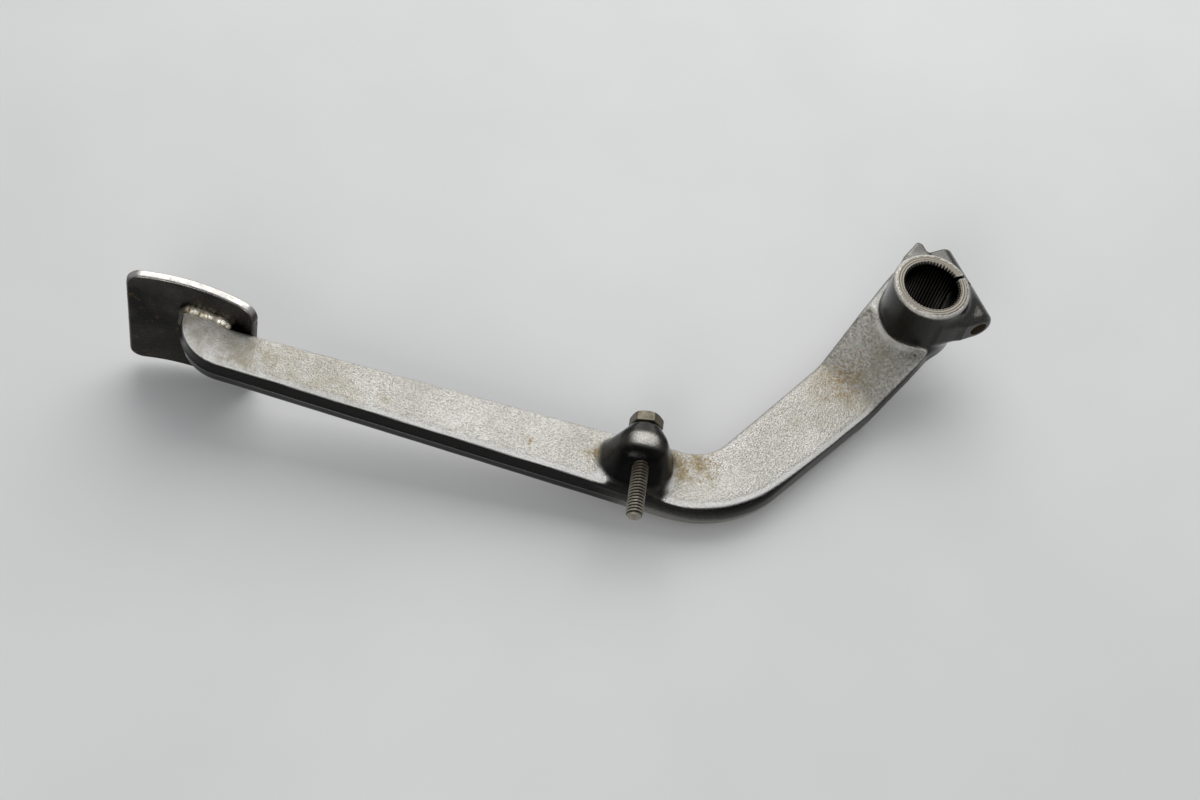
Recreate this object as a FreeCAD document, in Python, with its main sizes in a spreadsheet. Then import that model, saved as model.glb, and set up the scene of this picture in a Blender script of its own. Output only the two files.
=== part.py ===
import FreeCAD, Part
import math
import os
import Sketcher

# Rear brake pedal lever of a motorbike: a forged and plated arm with a split, serrated clamp hub,
# a curved foot pad welded to its far end, and a hexagon stop screw in a boss beside the bend.
# It is drawn flat, with the hub axis on Z and the hub's middle at the origin, and every piece is
# then laid down by the same turn, the way the loose lever comes to rest on a bench.

DIMENSIONS = [
    ("hub_dia", 30.0, "outside of the clamp hub"),
    ("hub_length", 32.0, "hub from end face to end face"),
    ("hub_nose", 3.5, "step at the hub's lower end"),
    ("hub_nose_dia", 25.6, "hub's lower end inside that step"),
    ("hub_rim_round", 1.3, "rounded rim of the hub's end faces"),
    ("spline_dia", 20.4, "across the lands of the serrated bore"),
    ("spline_depth", 0.55, "depth of one serration"),
    ("spline_gap", 0.62, "width of one serration at the lands"),
    ("spline_count", 54, "serrations round the bore"),
    ("bore_lead", 0.9, "lead-in chamfer of the bore"),
    ("slit_width", 1.4, "saw cut through the clamp"),
    ("slit_angle", 37.0, "direction of the saw cut"),
    ("pinch_reach", 15.2, "pinch bolt axis from the hub axis"),
    ("pinch_rise", 4.0, "pinch bolt axis above the hub's middle"),
    ("pinch_hole_dia", 6.8, "clearance hole of the pinch bolt"),
    ("pinch_lug_dia", 12.8, "round lugs of the pinch bolt"),
    ("pinch_seat", 17.6, "bolt head seat from the saw cut"),
    ("pinch_tail", 17.2, "far lug end from the saw cut"),
    ("web_tuck", 1.0, "depth in the barrel from which the far lug's web leaves it"),
    ("heel_top", 11.0, "top of the heel beside the bolt seat, above the hub's middle"),
    ("heel_reach", 23.2, "tip of the heel from the saw cut"),
    ("heel_side", 19.1, "back of the heel abreast of the hub axis"),
    ("heel_gap", 5.7, "heel's wall from the pinch bolt axis"),
    ("heel_round", 1.6, "blunted tip of the heel"),
    ("heel_root_back", 7.5, "heel's root behind the hub axis"),
    ("heel_root_side", 12.9, "heel's back where it leaves the hub"),
    ("heel_root_in", 7.5, "heel's root inside the hub"),
    ("leg_angle", 58.4, "direction of the hub leg in plan"),
    ("leg_length", 107.2, "hub axis to the corner of the bend"),
    ("bend_radius", 30.2, "centre line radius of the bend"),
    ("arm_length", 200.3, "corner of the bend to the turned-up end"),
    ("end_radius", 10.8, "centre line radius of the turned-up end"),
    ("arm_drop", 26.0, "arm's parting plane below the hub's middle"),
    ("arm_thick", 13.5, "arm from face to back"),
    ("arm_width_end", 17.7, "arm at the turned-up end"),
    ("arm_width_mid", 23.5, "arm beside the stop screw boss"),
    ("arm_width_leg", 26.9, "arm where the hub leg begins"),
    ("arm_width_kink", 28.4, "arm where it starts to climb to the hub"),
    ("draft_angle", 7.0, "forging draft either side of the parting line"),
    ("arm_edge_round", 2.3, "rounded edges of face and back"),
    ("kink_reach", 36.3, "start of the climb from the hub axis"),
    ("foot_reach", 14.8, "end of the climb from the hub axis"),
    ("foot_width", 31.3, "arm where it meets the hub"),
    ("foot_shift", 0.5, "offset of that width towards the heel"),
    ("foot_thick", 11.2, "arm's thickness at the hub"),
    ("flank_reach", 11.5, "end of the flank past the hub axis"),
    ("flank_width", 32.5, "width across the flank there"),
    ("flank_shift", 4.6, "offset of that width towards the heel"),
    ("boss_reach", 32.4, "stop boss from the corner of the bend"),
    ("boss_shift", 3.3, "stop boss from the arm's centre line"),
    ("boss_base_long", 29.0, "stop boss at its foot, along the arm"),
    ("boss_base_wide", 20.8, "stop boss at its foot, across the arm"),
    ("boss_base_shift", 2.4, "stop boss's foot from its middle, towards the near edge"),
    ("boss_top_long", 12.0, "stop boss at its top, along the arm"),
    ("boss_top_wide", 10.2, "stop boss at its top, across the arm"),
    ("boss_height", 14.6, "stop boss above the arm's face"),
    ("boss_corner", 3.2, "corner radius of the stop boss"),
    ("screw_skew", 6.2, "turn of the stop screw from square to the arm"),
    ("screw_rise", 8.2, "stop screw axis above the arm's face"),
    ("screw_dia", 6.35, "stop screw across its thread"),
    ("screw_clearance", 0.06, "thread clearance all round in the boss"),
    ("screw_length", 38.1, "stop screw under its head"),
    ("screw_head_flats", 11.11, "across the flats of the head"),
    ("screw_head_high", 4.1, "height of the head"),
    ("screw_head_gap", 1.0, "head above its seat as adjusted"),
    ("screw_seat", 6.9, "seat of the head from the boss's middle"),
    ("seat_dia", 13.8, "spot face under the screw's head"),
    ("screw_head_turn", 12.0, "turn of the head's corners"),
    ("screw_lug_dia", 12.4, "round part of the boss about the screw"),
    ("screw_point", 1.0, "chamfer at the screw's end"),
    ("screw_crown", 10.6, "flat top of the screw's head"),
    ("screw_crown_drop", 0.7, "chamfer of the head's corners"),
    ("pad_radius", 87.0, "hollow back of the foot pad"),
    ("pad_thick", 3.8, "foot pad plate"),
    ("pad_high", 52.5, "foot pad across the lever"),
    ("pad_front", 22.6, "foot pad ahead of its crown"),
    ("pad_rear", 25.8, "foot pad behind its crown"),
    ("pad_crown", 7.0, "crown of the pad ahead of the turned-up end's axis"),
    ("pad_stand", 11.6, "hollow back of the pad from the arm's centre line"),
    ("pad_offset", 6.9, "middle of the pad below the arm's parting plane"),
    ("pad_corner", 5.5, "corner radius of the foot pad"),
    ("pad_edge_break", 0.8, "broken edges of the foot pad"),
    ("weld_long", 24.0, "weld bead on the pad, along the lever"),
    ("weld_wide", 19.6, "weld bead on the pad, across the lever"),
    ("weld_high", 3.8, "weld bead up the arm's end"),
    ("weld_corner", 3.2, "corner radius of the weld bead on the pad"),
    ("rest_tilt", 8.7, "lean of the hub axis when the lever lies loose"),
    ("rest_heading", -32.5, "direction of that lean in plan"),
]

doc = FreeCAD.newDocument("brake_pedal")
dims = doc.addObject("Spreadsheet::Sheet", "Dims")
for row, (alias, value, note) in enumerate(DIMENSIONS, start=1):
    dims.set("A%d" % row, note)
    dims.set("B%d" % row, str(value))
    dims.setAlias("B%d" % row, alias)
doc.recompute()


def size(alias):
    return float(getattr(dims, alias))


def new_body(label):
    body = doc.addObject("PartDesign::Body", label)
    body.Label = label
    return body


def new_sketch(body, name, role, base=None, turn_axis=None, turn=None):
    """Sketch on one of the body's origin planes, moved and turned by expressions."""
    sketch = body.newObject("Sketcher::SketchObject", name)
    plane = [f for f in body.Origin.OriginFeatures if f.Role == role][0]
    sketch.AttachmentSupport = [(plane, "")]
    sketch.MapMode = "FlatFace"
    if turn is not None:
        turned = FreeCAD.Rotation(FreeCAD.Vector(*turn_axis), 1.0)
        sketch.AttachmentOffset = FreeCAD.Placement(FreeCAD.Vector(), turned)
        sketch.setExpression("AttachmentOffset.Rotation.Angle", turn)
    for axis, expression in (base or {}).items():
        sketch.setExpression("AttachmentOffset.Base." + axis, expression)
    return sketch


def bind(sketch, name, expression, *constraint):
    """Add a named dimension to the sketch and bind it to the sheet."""
    index = sketch.addConstraint(Sketcher.Constraint(*constraint))
    sketch.renameConstraint(index, name)
    sketch.setExpression("Constraints." + name, expression)


def drafted_section(sketch, width, thick):
    """Six-sided forging section: widest at its parting line, with four rounded corners."""
    half = size(width) / 2
    tall = size(thick) / 2
    draft = math.radians(size("draft_angle"))
    radius = size("arm_edge_round")
    step = radius * math.tan((math.pi / 2 - draft) / 2)
    corner = half - tall * math.tan(draft)
    side = FreeCAD.Vector(corner + step * math.sin(draft), tall - step * math.cos(draft), 0)
    top = FreeCAD.Vector(corner - step, tall, 0)
    middle = FreeCAD.Vector(corner - step, tall - radius, 0)
    up = FreeCAD.Vector(0, 0, 1)

    def flip(point, across, along):
        return FreeCAD.Vector(point.x * across, point.y * along, 0)

    def corner_arc(across, along, start, end):
        circle = Part.Circle(flip(middle, across, along), up, radius)
        return Part.ArcOfCircle(circle, start, end)

    right = FreeCAD.Vector(half, 0, 0)
    left = FreeCAD.Vector(-half, 0, 0)
    quarter = math.pi / 2
    sketch.addGeometry([
        Part.LineSegment(right, side),
        corner_arc(1, 1, draft, quarter),
        Part.LineSegment(top, flip(top, -1, 1)),
        corner_arc(-1, 1, quarter, 2 * quarter - draft),
        Part.LineSegment(flip(side, -1, 1), left),
        Part.LineSegment(left, flip(side, -1, -1)),
        corner_arc(-1, -1, 2 * quarter + draft, 3 * quarter),
        Part.LineSegment(flip(top, -1, -1), flip(top, 1, -1)),
        corner_arc(1, -1, 3 * quarter, 4 * quarter - draft),
        Part.LineSegment(flip(side, 1, -1), right),
    ], False)
    for first, second in ((0, 1), (1, 2), (2, 3), (3, 4), (5, 6), (6, 7), (7, 8), (8, 9)):
        sketch.addConstraint(Sketcher.Constraint("Tangent", first, 2, second, 1))
    sketch.addConstraint([
        Sketcher.Constraint("Coincident", 4, 2, 5, 1),
        Sketcher.Constraint("Coincident", 9, 2, 0, 1),
        Sketcher.Constraint("Horizontal", 2),
        Sketcher.Constraint("Horizontal", 7),
        Sketcher.Constraint("PointOnObject", 0, 1, -1),
        Sketcher.Constraint("Symmetric", 5, 1, 0, 1, -2),
        Sketcher.Constraint("Symmetric", 2, 1, 7, 2, -1),
        Sketcher.Constraint("Equal", 1, 3),
        Sketcher.Constraint("Equal", 1, 6),
        Sketcher.Constraint("Equal", 1, 8),
        Sketcher.Constraint("Equal", 0, 4),
        Sketcher.Constraint("Equal", 0, 5),
    ])
    bind(sketch, "width", "Dims." + width, "DistanceX", 5, 1, 0, 1, 2 * half)
    bind(sketch, "thick", "Dims." + thick, "DistanceY", 7, 1, 2, 1, 2 * tall)
    bind(sketch, "round", "Dims.arm_edge_round", "Radius", 1, radius)
    bind(sketch, "draft", "90 + Dims.draft_angle", "Angle", 0, quarter + draft)


def value_of(expression):
    return float(FreeCAD.Units.Quantity(str(dims.evalExpression(expression))).Value)


def circle(sketch, dia, across=None, along=None):
    """Circle of a sheet diameter, centred on the sketch or moved by two sheet distances."""
    centre = FreeCAD.Vector(size(across) if across else 0, size(along) if along else 0, 0)
    sketch.addGeometry(Part.Circle(centre, FreeCAD.Vector(0, 0, 1), size(dia) / 2), False)
    bind(sketch, "dia", "Dims." + dia, "Diameter", 0, size(dia))
    if across:
        bind(sketch, "across", "Dims." + across, "DistanceX", -1, 1, 0, 3, centre.x)
        bind(sketch, "along", "Dims." + along, "DistanceY", -1, 1, 0, 3, centre.y)
    else:
        sketch.addConstraint(Sketcher.Constraint("Coincident", 0, 3, -1, 1))


def polygon(sketch, corners):
    """Closed outline whose corners are pairs of expressions."""
    points = [FreeCAD.Vector(value_of(x), value_of(y), 0) for x, y in corners]
    for index, point in enumerate(points):
        following = points[(index + 1) % len(points)]
        sketch.addGeometry(Part.LineSegment(point, following), False)
    for index, (x, y) in enumerate(corners):
        following = (index + 1) % len(points)
        sketch.addConstraint(Sketcher.Constraint("Coincident", index, 2, following, 1))
        bind(sketch, "x%d" % index, x, "DistanceX", -1, 1, index, 1, points[index].x)
        bind(sketch, "y%d" % index, y, "DistanceY", -1, 1, index, 1, points[index].y)


def rounded_block(sketch, long, wide, corner):
    """Rectangle with four equal rounded corners, centred on the sketch."""
    half, deep, radius = size(long) / 2, size(wide) / 2, size(corner)
    quarter = math.pi / 2
    normal = FreeCAD.Vector(0, 0, 1)
    flat, stand = half - radius, deep - radius
    ends = [
        (FreeCAD.Vector(half, -stand, 0), FreeCAD.Vector(half, stand, 0)),
        (FreeCAD.Vector(flat, deep, 0), FreeCAD.Vector(-flat, deep, 0)),
        (FreeCAD.Vector(-half, stand, 0), FreeCAD.Vector(-half, -stand, 0)),
        (FreeCAD.Vector(-flat, -deep, 0), FreeCAD.Vector(flat, -deep, 0)),
    ]
    centres = [(flat, stand), (-flat, stand), (-flat, -stand), (flat, -stand)]
    for index in range(4):
        sketch.addGeometry(Part.LineSegment(*ends[index]), False)
        ring = Part.Circle(FreeCAD.Vector(*centres[index], 0), normal, radius)
        sketch.addGeometry(Part.ArcOfCircle(ring, index * quarter, (index + 1) * quarter), False)
    for index in range(8):
        sketch.addConstraint(Sketcher.Constraint("Tangent", index, 2, (index + 1) % 8, 1))
    sketch.addConstraint([
        Sketcher.Constraint("Vertical", 0),
        Sketcher.Constraint("Horizontal", 2),
        Sketcher.Constraint("Equal", 1, 3),
        Sketcher.Constraint("Equal", 1, 5),
        Sketcher.Constraint("Equal", 1, 7),
        Sketcher.Constraint("Symmetric", 0, 1, 4, 1, -1, 1),
    ])
    bind(sketch, "long", "Dims." + long, "DistanceX", 4, 1, 0, 1, 2 * half)
    bind(sketch, "wide", "Dims." + wide, "DistanceY", 6, 1, 2, 1, 2 * deep)
    bind(sketch, "corner", "Dims." + corner, "Radius", 1, radius)


def near_plane(edge, height):
    """True for an edge that lies all along a level plane."""
    return abs(edge.BoundBox.ZMin - height) < 0.02 and abs(edge.BoundBox.ZMax - height) < 0.02


def round_edges(body, name, radius, wanted):
    """Fillet of a sheet radius on the wanted edges of the body's last feature."""
    base = body.Tip
    edges = ["Edge%d" % n for n, edge in enumerate(base.Shape.Edges, start=1) if wanted(edge)]
    fillet = body.newObject("PartDesign::Fillet", name)
    fillet.Base = (base, edges)
    fillet.setExpression("Radius", "Dims." + radius)
    doc.recompute()
    return fillet


def round_about_hub(edge, radius):
    """True for an arc or circle of this radius about the hub axis."""
    curve = edge.Curve
    if not isinstance(curve, Part.Circle) or abs(curve.Radius - radius) > 0.01:
        return False
    return math.hypot(curve.Center.x, curve.Center.y) < 0.01 and abs(abs(curve.Axis.z) - 1) < 1e-6


def cut(body, name, sketch, length, side="Symmetric"):
    """Pocket of the sketch that must take something away."""
    before = body.Shape.Volume
    pocket = body.newObject("PartDesign::Pocket", name)
    pocket.Profile = sketch
    pocket.SideType = side
    pocket.setExpression("Length", length)
    doc.recompute()
    if pocket.Shape.isNull() or pocket.Shape.Volume > before - 0.01:
        raise RuntimeError(name + " cuts nothing")
    return pocket


def bowed_plate(sketch, thick, front, rear):
    """Plan of a bowed plate: two arcs about one centre, closed by two radial ends."""
    radius = size("pad_radius")
    outer = radius + value_of(thick)
    ahead = math.pi / 2 + math.asin(value_of(front) / radius)
    behind = math.pi / 2 - math.asin(value_of(rear) / radius)
    centre = FreeCAD.Vector(0, -radius, 0)
    normal = FreeCAD.Vector(0, 0, 1)

    def spot(reach, turn):
        return centre + FreeCAD.Vector(reach * math.cos(turn), reach * math.sin(turn), 0)

    sketch.addGeometry([
        Part.ArcOfCircle(Part.Circle(centre, normal, radius), behind, ahead),
        Part.ArcOfCircle(Part.Circle(centre, normal, outer), behind, ahead),
        Part.LineSegment(spot(radius, behind), spot(outer, behind)),
        Part.LineSegment(spot(radius, ahead), spot(outer, ahead)),
    ], False)
    sketch.addConstraint([
        Sketcher.Constraint("Coincident", 2, 1, 0, 1),
        Sketcher.Constraint("Coincident", 2, 2, 1, 1),
        Sketcher.Constraint("Coincident", 3, 1, 0, 2),
        Sketcher.Constraint("Coincident", 3, 2, 1, 2),
        Sketcher.Constraint("Coincident", 0, 3, 1, 3),
        Sketcher.Constraint("PointOnObject", 0, 3, -2),
        Sketcher.Constraint("PointOnObject", 0, 3, 2),
        Sketcher.Constraint("PointOnObject", 0, 3, 3),
    ])
    bind(sketch, "hollow", "Dims.pad_radius", "Radius", 0, radius)
    bind(sketch, "crown", "Dims.pad_radius + " + thick, "Radius", 1, outer)
    bind(sketch, "centre", "Dims.pad_radius", "DistanceY", 0, 3, -1, 1, radius)
    bind(sketch, "rear", rear, "DistanceX", -1, 1, 0, 1, value_of(rear))
    bind(sketch, "front", front, "DistanceX", 0, 2, -1, 1, value_of(front))


def hexagon(sketch, flats, turn):
    """Regular hexagon by its width across flats, turned about its middle."""
    reach = "Dims." + flats + " / (2 * cos(30 deg))"
    swing = "(Dims." + turn + " * 1 deg + %d deg)"
    polygon(sketch, [(reach + " * cos" + swing % step, reach + " * sin" + swing % step)
                     for step in range(0, 360, 60)])


# The forged lever. Its arm is one drafted section swept along a flat centre line: turned up at the
# foot pad, straight to the bend, and on along the hub leg to where it starts to climb.
lever = new_body("lever_forging")
leg_turn = "Dims.leg_angle * 1 deg"
leg_sin = "sin(Dims.leg_angle * 1 deg)"
leg_cos = "cos(Dims.leg_angle * 1 deg)"
arm_axis = "Dims.leg_length * " + leg_sin
end_axis = "(Dims.leg_length * " + leg_cos + " + Dims.arm_length)"

angle = math.radians(size("leg_angle"))
corner_x = -size("leg_length") * math.cos(angle)
corner_y = -size("leg_length") * math.sin(angle)
end_x = corner_x - size("arm_length")
top_y = corner_y + size("pad_stand") + size("pad_thick")
end_r = size("end_radius")
bend_r = size("bend_radius")
run = bend_r * math.tan(angle / 2)
leg_start = FreeCAD.Vector(corner_x + run * math.cos(angle), corner_y + run * math.sin(angle), 0)
kink = FreeCAD.Vector(-size("kink_reach") * math.cos(angle), -size("kink_reach") * math.sin(angle), 0)
up = FreeCAD.Vector(0, 0, 1)

spine = new_sketch(lever, "arm_line", "XY_Plane", {"z": "-Dims.arm_drop"})
end_circle = Part.Circle(FreeCAD.Vector(end_x + end_r, corner_y + end_r, 0), up, end_r)
bend_circle = Part.Circle(FreeCAD.Vector(corner_x - run, corner_y + bend_r, 0), up, bend_r)
spine.addGeometry([
    Part.LineSegment(FreeCAD.Vector(end_x, top_y, 0), FreeCAD.Vector(end_x, corner_y + end_r, 0)),
    Part.ArcOfCircle(end_circle, math.pi, 1.5 * math.pi),
    Part.LineSegment(FreeCAD.Vector(end_x + end_r, corner_y, 0),
                     FreeCAD.Vector(corner_x - run, corner_y, 0)),
    Part.ArcOfCircle(bend_circle, 1.5 * math.pi, 1.5 * math.pi + angle),
    Part.LineSegment(leg_start, kink),
], False)
spine.addConstraint([
    Sketcher.Constraint("Vertical", 0),
    Sketcher.Constraint("Horizontal", 2),
    Sketcher.Constraint("Tangent", 0, 2, 1, 1),
    Sketcher.Constraint("Tangent", 1, 2, 2, 1),
    Sketcher.Constraint("Tangent", 2, 2, 3, 1),
    Sketcher.Constraint("Tangent", 3, 2, 4, 1),
])
bind(spine, "end_turn", "Dims.end_radius", "Radius", 1, end_r)
bind(spine, "bend_turn", "Dims.bend_radius", "Radius", 3, bend_r)
bind(spine, "end_place", end_axis, "DistanceX", 0, 1, -1, 1, -end_x)
bind(spine, "end_top", arm_axis + " - Dims.pad_stand - Dims.pad_thick",
     "DistanceY", 0, 1, -1, 1, -top_y)
bind(spine, "arm_place", arm_axis, "DistanceY", 2, 1, -1, 1, -corner_y)
bind(spine, "kink_x", "Dims.kink_reach * " + leg_cos, "DistanceX", 4, 2, -1, 1, -kink.x)
bind(spine, "kink_y", "Dims.kink_reach * " + leg_sin, "DistanceY", 4, 2, -1, 1, -kink.y)
bind(spine, "leg_turn", "Dims.leg_angle", "Angle", 4, angle)

end_section = new_sketch(lever, "end_section", "XZ_Plane", {
    "x": "-" + end_axis,
    "y": "-Dims.arm_drop",
    "z": arm_axis + " - Dims.pad_stand - Dims.pad_thick",
})
drafted_section(end_section, "arm_width_end", "arm_thick")
start_section = new_sketch(lever, "start_section", "YZ_Plane", {
    "x": "-" + arm_axis,
    "y": "-Dims.arm_drop",
    "z": "-" + end_axis + " + 1.5 * Dims.end_radius",
})
drafted_section(start_section, "arm_width_end", "arm_thick")
mid_section = new_sketch(lever, "mid_section", "YZ_Plane", {
    "x": "-" + arm_axis,
    "y": "-Dims.arm_drop",
    "z": "-Dims.leg_length * " + leg_cos + " - Dims.boss_reach - Dims.boss_base_long / 2",
})
drafted_section(mid_section, "arm_width_mid", "arm_thick")
leg_reach = "(Dims.leg_length - Dims.bend_radius * tan(Dims.leg_angle * 0.5 deg))"
leg_section = new_sketch(lever, "leg_section", "YZ_Plane", {
    "x": "-" + leg_reach + " * " + leg_sin,
    "y": "-Dims.arm_drop",
    "z": "-" + leg_reach + " * " + leg_cos,
}, (0, 1, 0), leg_turn)
drafted_section(leg_section, "arm_width_leg", "arm_thick")
kink_section = new_sketch(lever, "kink_section", "YZ_Plane", {
    "x": "-Dims.kink_reach * " + leg_sin,
    "y": "-Dims.arm_drop",
    "z": "-Dims.kink_reach * " + leg_cos,
}, (0, 1, 0), leg_turn)
drafted_section(kink_section, "arm_width_kink", "arm_thick")
foot_section = new_sketch(lever, "foot_section", "YZ_Plane", {
    "x": "-Dims.foot_reach * " + leg_sin + " + Dims.foot_shift * " + leg_cos,
    "y": "-Dims.hub_length / 2 + Dims.foot_thick / 2",
    "z": "-Dims.foot_reach * " + leg_cos + " - Dims.foot_shift * " + leg_sin,
}, (0, 1, 0), leg_turn)
drafted_section(foot_section, "foot_width", "foot_thick")
flank_section = new_sketch(lever, "flank_section", "YZ_Plane", {
    "x": "Dims.flank_reach * " + leg_sin + " + Dims.flank_shift * " + leg_cos,
    "y": "-Dims.hub_length / 2 + Dims.foot_thick / 2",
    "z": "Dims.flank_reach * " + leg_cos + " - Dims.flank_shift * " + leg_sin,
}, (0, 1, 0), leg_turn)
drafted_section(flank_section, "flank_width", "foot_thick")
doc.recompute()

arm = lever.newObject("PartDesign::AdditivePipe", "arm_sweep")
arm.Profile = end_section
arm.Spine = (spine, ["Edge1", "Edge2", "Edge3", "Edge4", "Edge5"])
arm.Sections = [start_section, mid_section, leg_section, kink_section]
arm.Transformation = "Multisection"
doc.recompute()

# From the kink the same section climbs straight to the level of the hub's foot, and runs on beside
# the hub to the heel.
climb = lever.newObject("PartDesign::AdditiveLoft", "climb")
climb.Profile = kink_section
climb.Sections = [foot_section]
climb.Ruled = True
foot = lever.newObject("PartDesign::AdditiveLoft", "foot")
foot.Profile = foot_section
foot.Sections = [flank_section]
foot.Ruled = True
doc.recompute()

# The stop screw's boss rises from the arm's face beside the bend as a drafted block with a round
# lug about the screw, and is faced off square under the screw's head.
screw_turn = "Dims.screw_skew * 1 deg"
boss_x = "(-Dims.leg_length * " + leg_cos + " - Dims.boss_reach)"
boss_y = "(-" + arm_axis + " + Dims.boss_shift)"
face_z = "(-Dims.arm_drop + Dims.arm_thick / 2)"
boss_foot = new_sketch(lever, "boss_foot", "XY_Plane",
                       {"x": boss_x + " + Dims.boss_base_shift * sin(" + screw_turn + ")",
                        "y": boss_y + " - Dims.boss_base_shift * cos(" + screw_turn + ")",
                        "z": face_z + " - Dims.arm_edge_round"},
                       (0, 0, 1), screw_turn)
rounded_block(boss_foot, "boss_base_long", "boss_base_wide", "boss_corner")
boss_head = new_sketch(lever, "boss_head", "XY_Plane",
                       {"x": boss_x, "y": boss_y, "z": face_z + " + Dims.boss_height"},
                       (0, 0, 1), screw_turn)
rounded_block(boss_head, "boss_top_long", "boss_top_wide", "boss_corner")
boss = lever.newObject("PartDesign::AdditiveLoft", "boss_block")
boss.Profile = boss_foot
boss.Sections = [boss_head]
boss.Ruled = True
doc.recompute()
screw_base = {"x": boss_x, "y": face_z + " + Dims.screw_rise", "z": "-" + boss_y}
lug_round = new_sketch(lever, "boss_lug_sketch", "XZ_Plane", screw_base, (0, 1, 0), screw_turn)
circle(lug_round, "screw_lug_dia")
boss_lug = lever.newObject("PartDesign::Pad", "boss_lug")
boss_lug.Profile = lug_round
boss_lug.SideType = "Two sides"
boss_lug.setExpression("Length", "Dims.screw_seat")
boss_lug.setExpression("Length2", "Dims.screw_seat")
doc.recompute()

# The clamp hub is a barrel, stepped in at its lower end. Two round lugs for the pinch bolt lie across
# the saw cut, webbed to the barrel, and a heel beside the bolt's seat keeps the bolt's head from turning.
slit_turn = "Dims.slit_angle * 1 deg"
barrel_sketch = new_sketch(lever, "barrel_sketch", "XY_Plane")
circle(barrel_sketch, "hub_dia")
barrel = lever.newObject("PartDesign::Pad", "barrel")
barrel.Profile = barrel_sketch
barrel.SideType = "Two sides"
barrel.setExpression("Length", "Dims.hub_length / 2")
barrel.setExpression("Length2", "Dims.hub_length / 2 - Dims.hub_nose")
nose_sketch = new_sketch(lever, "nose_sketch", "XY_Plane")
circle(nose_sketch, "hub_nose_dia")
nose = lever.newObject("PartDesign::Pad", "hub_nose")
nose.Profile = nose_sketch
nose.SideType = "Symmetric"
nose.setExpression("Length", "Dims.hub_length")

lug_sketch = new_sketch(lever, "lug_sketch", "XZ_Plane", None, (0, 1, 0), slit_turn)
circle(lug_sketch, "pinch_lug_dia", "pinch_reach", "pinch_rise")
lugs = lever.newObject("PartDesign::Pad", "pinch_lugs")
lugs.Profile = lug_sketch
lugs.SideType = "Two sides"
lugs.setExpression("Length", "Dims.pinch_tail")
lugs.setExpression("Length2", "Dims.pinch_seat")
web_sketch = new_sketch(lever, "web_sketch", "XY_Plane", {"z": "Dims.pinch_rise - Dims.pinch_lug_dia / 2"},
                        (0, 0, 1), slit_turn)
polygon(web_sketch, [
    ("0", "Dims.web_tuck - Dims.hub_dia / 2"),
    ("Dims.pinch_reach - Dims.pinch_lug_dia / 2", "-Dims.pinch_tail"),
    ("Dims.pinch_reach", "-Dims.pinch_tail"),
    ("Dims.pinch_reach", "Dims.pinch_seat"),
    ("0", "Dims.pinch_seat"),
])
web = lever.newObject("PartDesign::Pad", "pinch_web")
web.Profile = web_sketch
web.setExpression("Length", "Dims.pinch_lug_dia")

heel_sketch = new_sketch(lever, "heel_sketch", "XY_Plane", {"z": "-Dims.hub_length / 2"},
                         (0, 0, 1), slit_turn)
polygon(heel_sketch, [
    ("-Dims.heel_root_back", "Dims.heel_root_side"),
    ("0", "Dims.heel_side"),
    ("Dims.pinch_reach - Dims.heel_gap - Dims.heel_round", "Dims.heel_reach"),
    ("Dims.pinch_reach - Dims.heel_gap", "Dims.heel_reach - Dims.heel_round"),
    ("Dims.pinch_reach - Dims.heel_gap", "Dims.heel_root_in"),
    ("-Dims.heel_root_back", "Dims.heel_root_in"),
])
heel = lever.newObject("PartDesign::Pad", "heel")
heel.Profile = heel_sketch
heel.setExpression("Length", "Dims.hub_length / 2 + Dims.heel_top")
doc.recompute()


def pad_base(level):
    """Crown of the pad's hollow back, at a level of the lever."""
    return {
        "x": "-" + end_axis + " - Dims.pad_crown",
        "y": "-" + arm_axis + " + Dims.pad_stand",
        "z": level,
    }


def along_screw(offset):
    """Point on the stop screw's axis, from the boss's middle towards the screw's end."""
    return {
        "x": boss_x + " + (" + offset + ") * sin(Dims.screw_skew * 1 deg)",
        "y": face_z + " + Dims.screw_rise",
        "z": "-" + boss_y + " + (" + offset + ") * cos(Dims.screw_skew * 1 deg)",
    }


# Rounded rims and roots of the forging.
barrel_radius = size("hub_dia") / 2
barrel_half = size("hub_length") / 2
round_edges(lever, "hub_rims", "hub_rim_round", lambda edge: round_about_hub(edge, barrel_radius)
            and near_plane(edge, barrel_half))

# Cuts: the arm's end is fitted to the hollow back of the pad, the boss is faced off under the
# screw's head and drilled, and the hub is bored, chamfered, serrated, slit and cross-drilled.
fit_sketch = new_sketch(lever, "fit_sketch", "XY_Plane", pad_base("-Dims.arm_drop"))
bowed_plate(fit_sketch, "2 * Dims.pad_stand", "Dims.pad_front + Dims.pad_corner",
            "Dims.pad_rear + Dims.pad_corner")
fit = cut(lever, "pad_fit", fit_sketch, "Dims.arm_thick * 2")

seat_sketch = new_sketch(lever, "seat_sketch", "XZ_Plane", along_screw("-Dims.screw_seat"),
                         (0, 1, 0), screw_turn)
circle(seat_sketch, "seat_dia")
seat = cut(lever, "screw_seat_face", seat_sketch, "Dims.boss_base_wide", "One side")
hole_sketch = new_sketch(lever, "screw_hole_sketch", "XZ_Plane", along_screw("0"),
                         (0, 1, 0), screw_turn)
circle(hole_sketch, "screw_dia")
hole_sketch.setExpression("Constraints.dia", "Dims.screw_dia + 2 * Dims.screw_clearance")
screw_hole = cut(lever, "screw_hole", hole_sketch, "Dims.boss_base_wide * 2")

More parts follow.
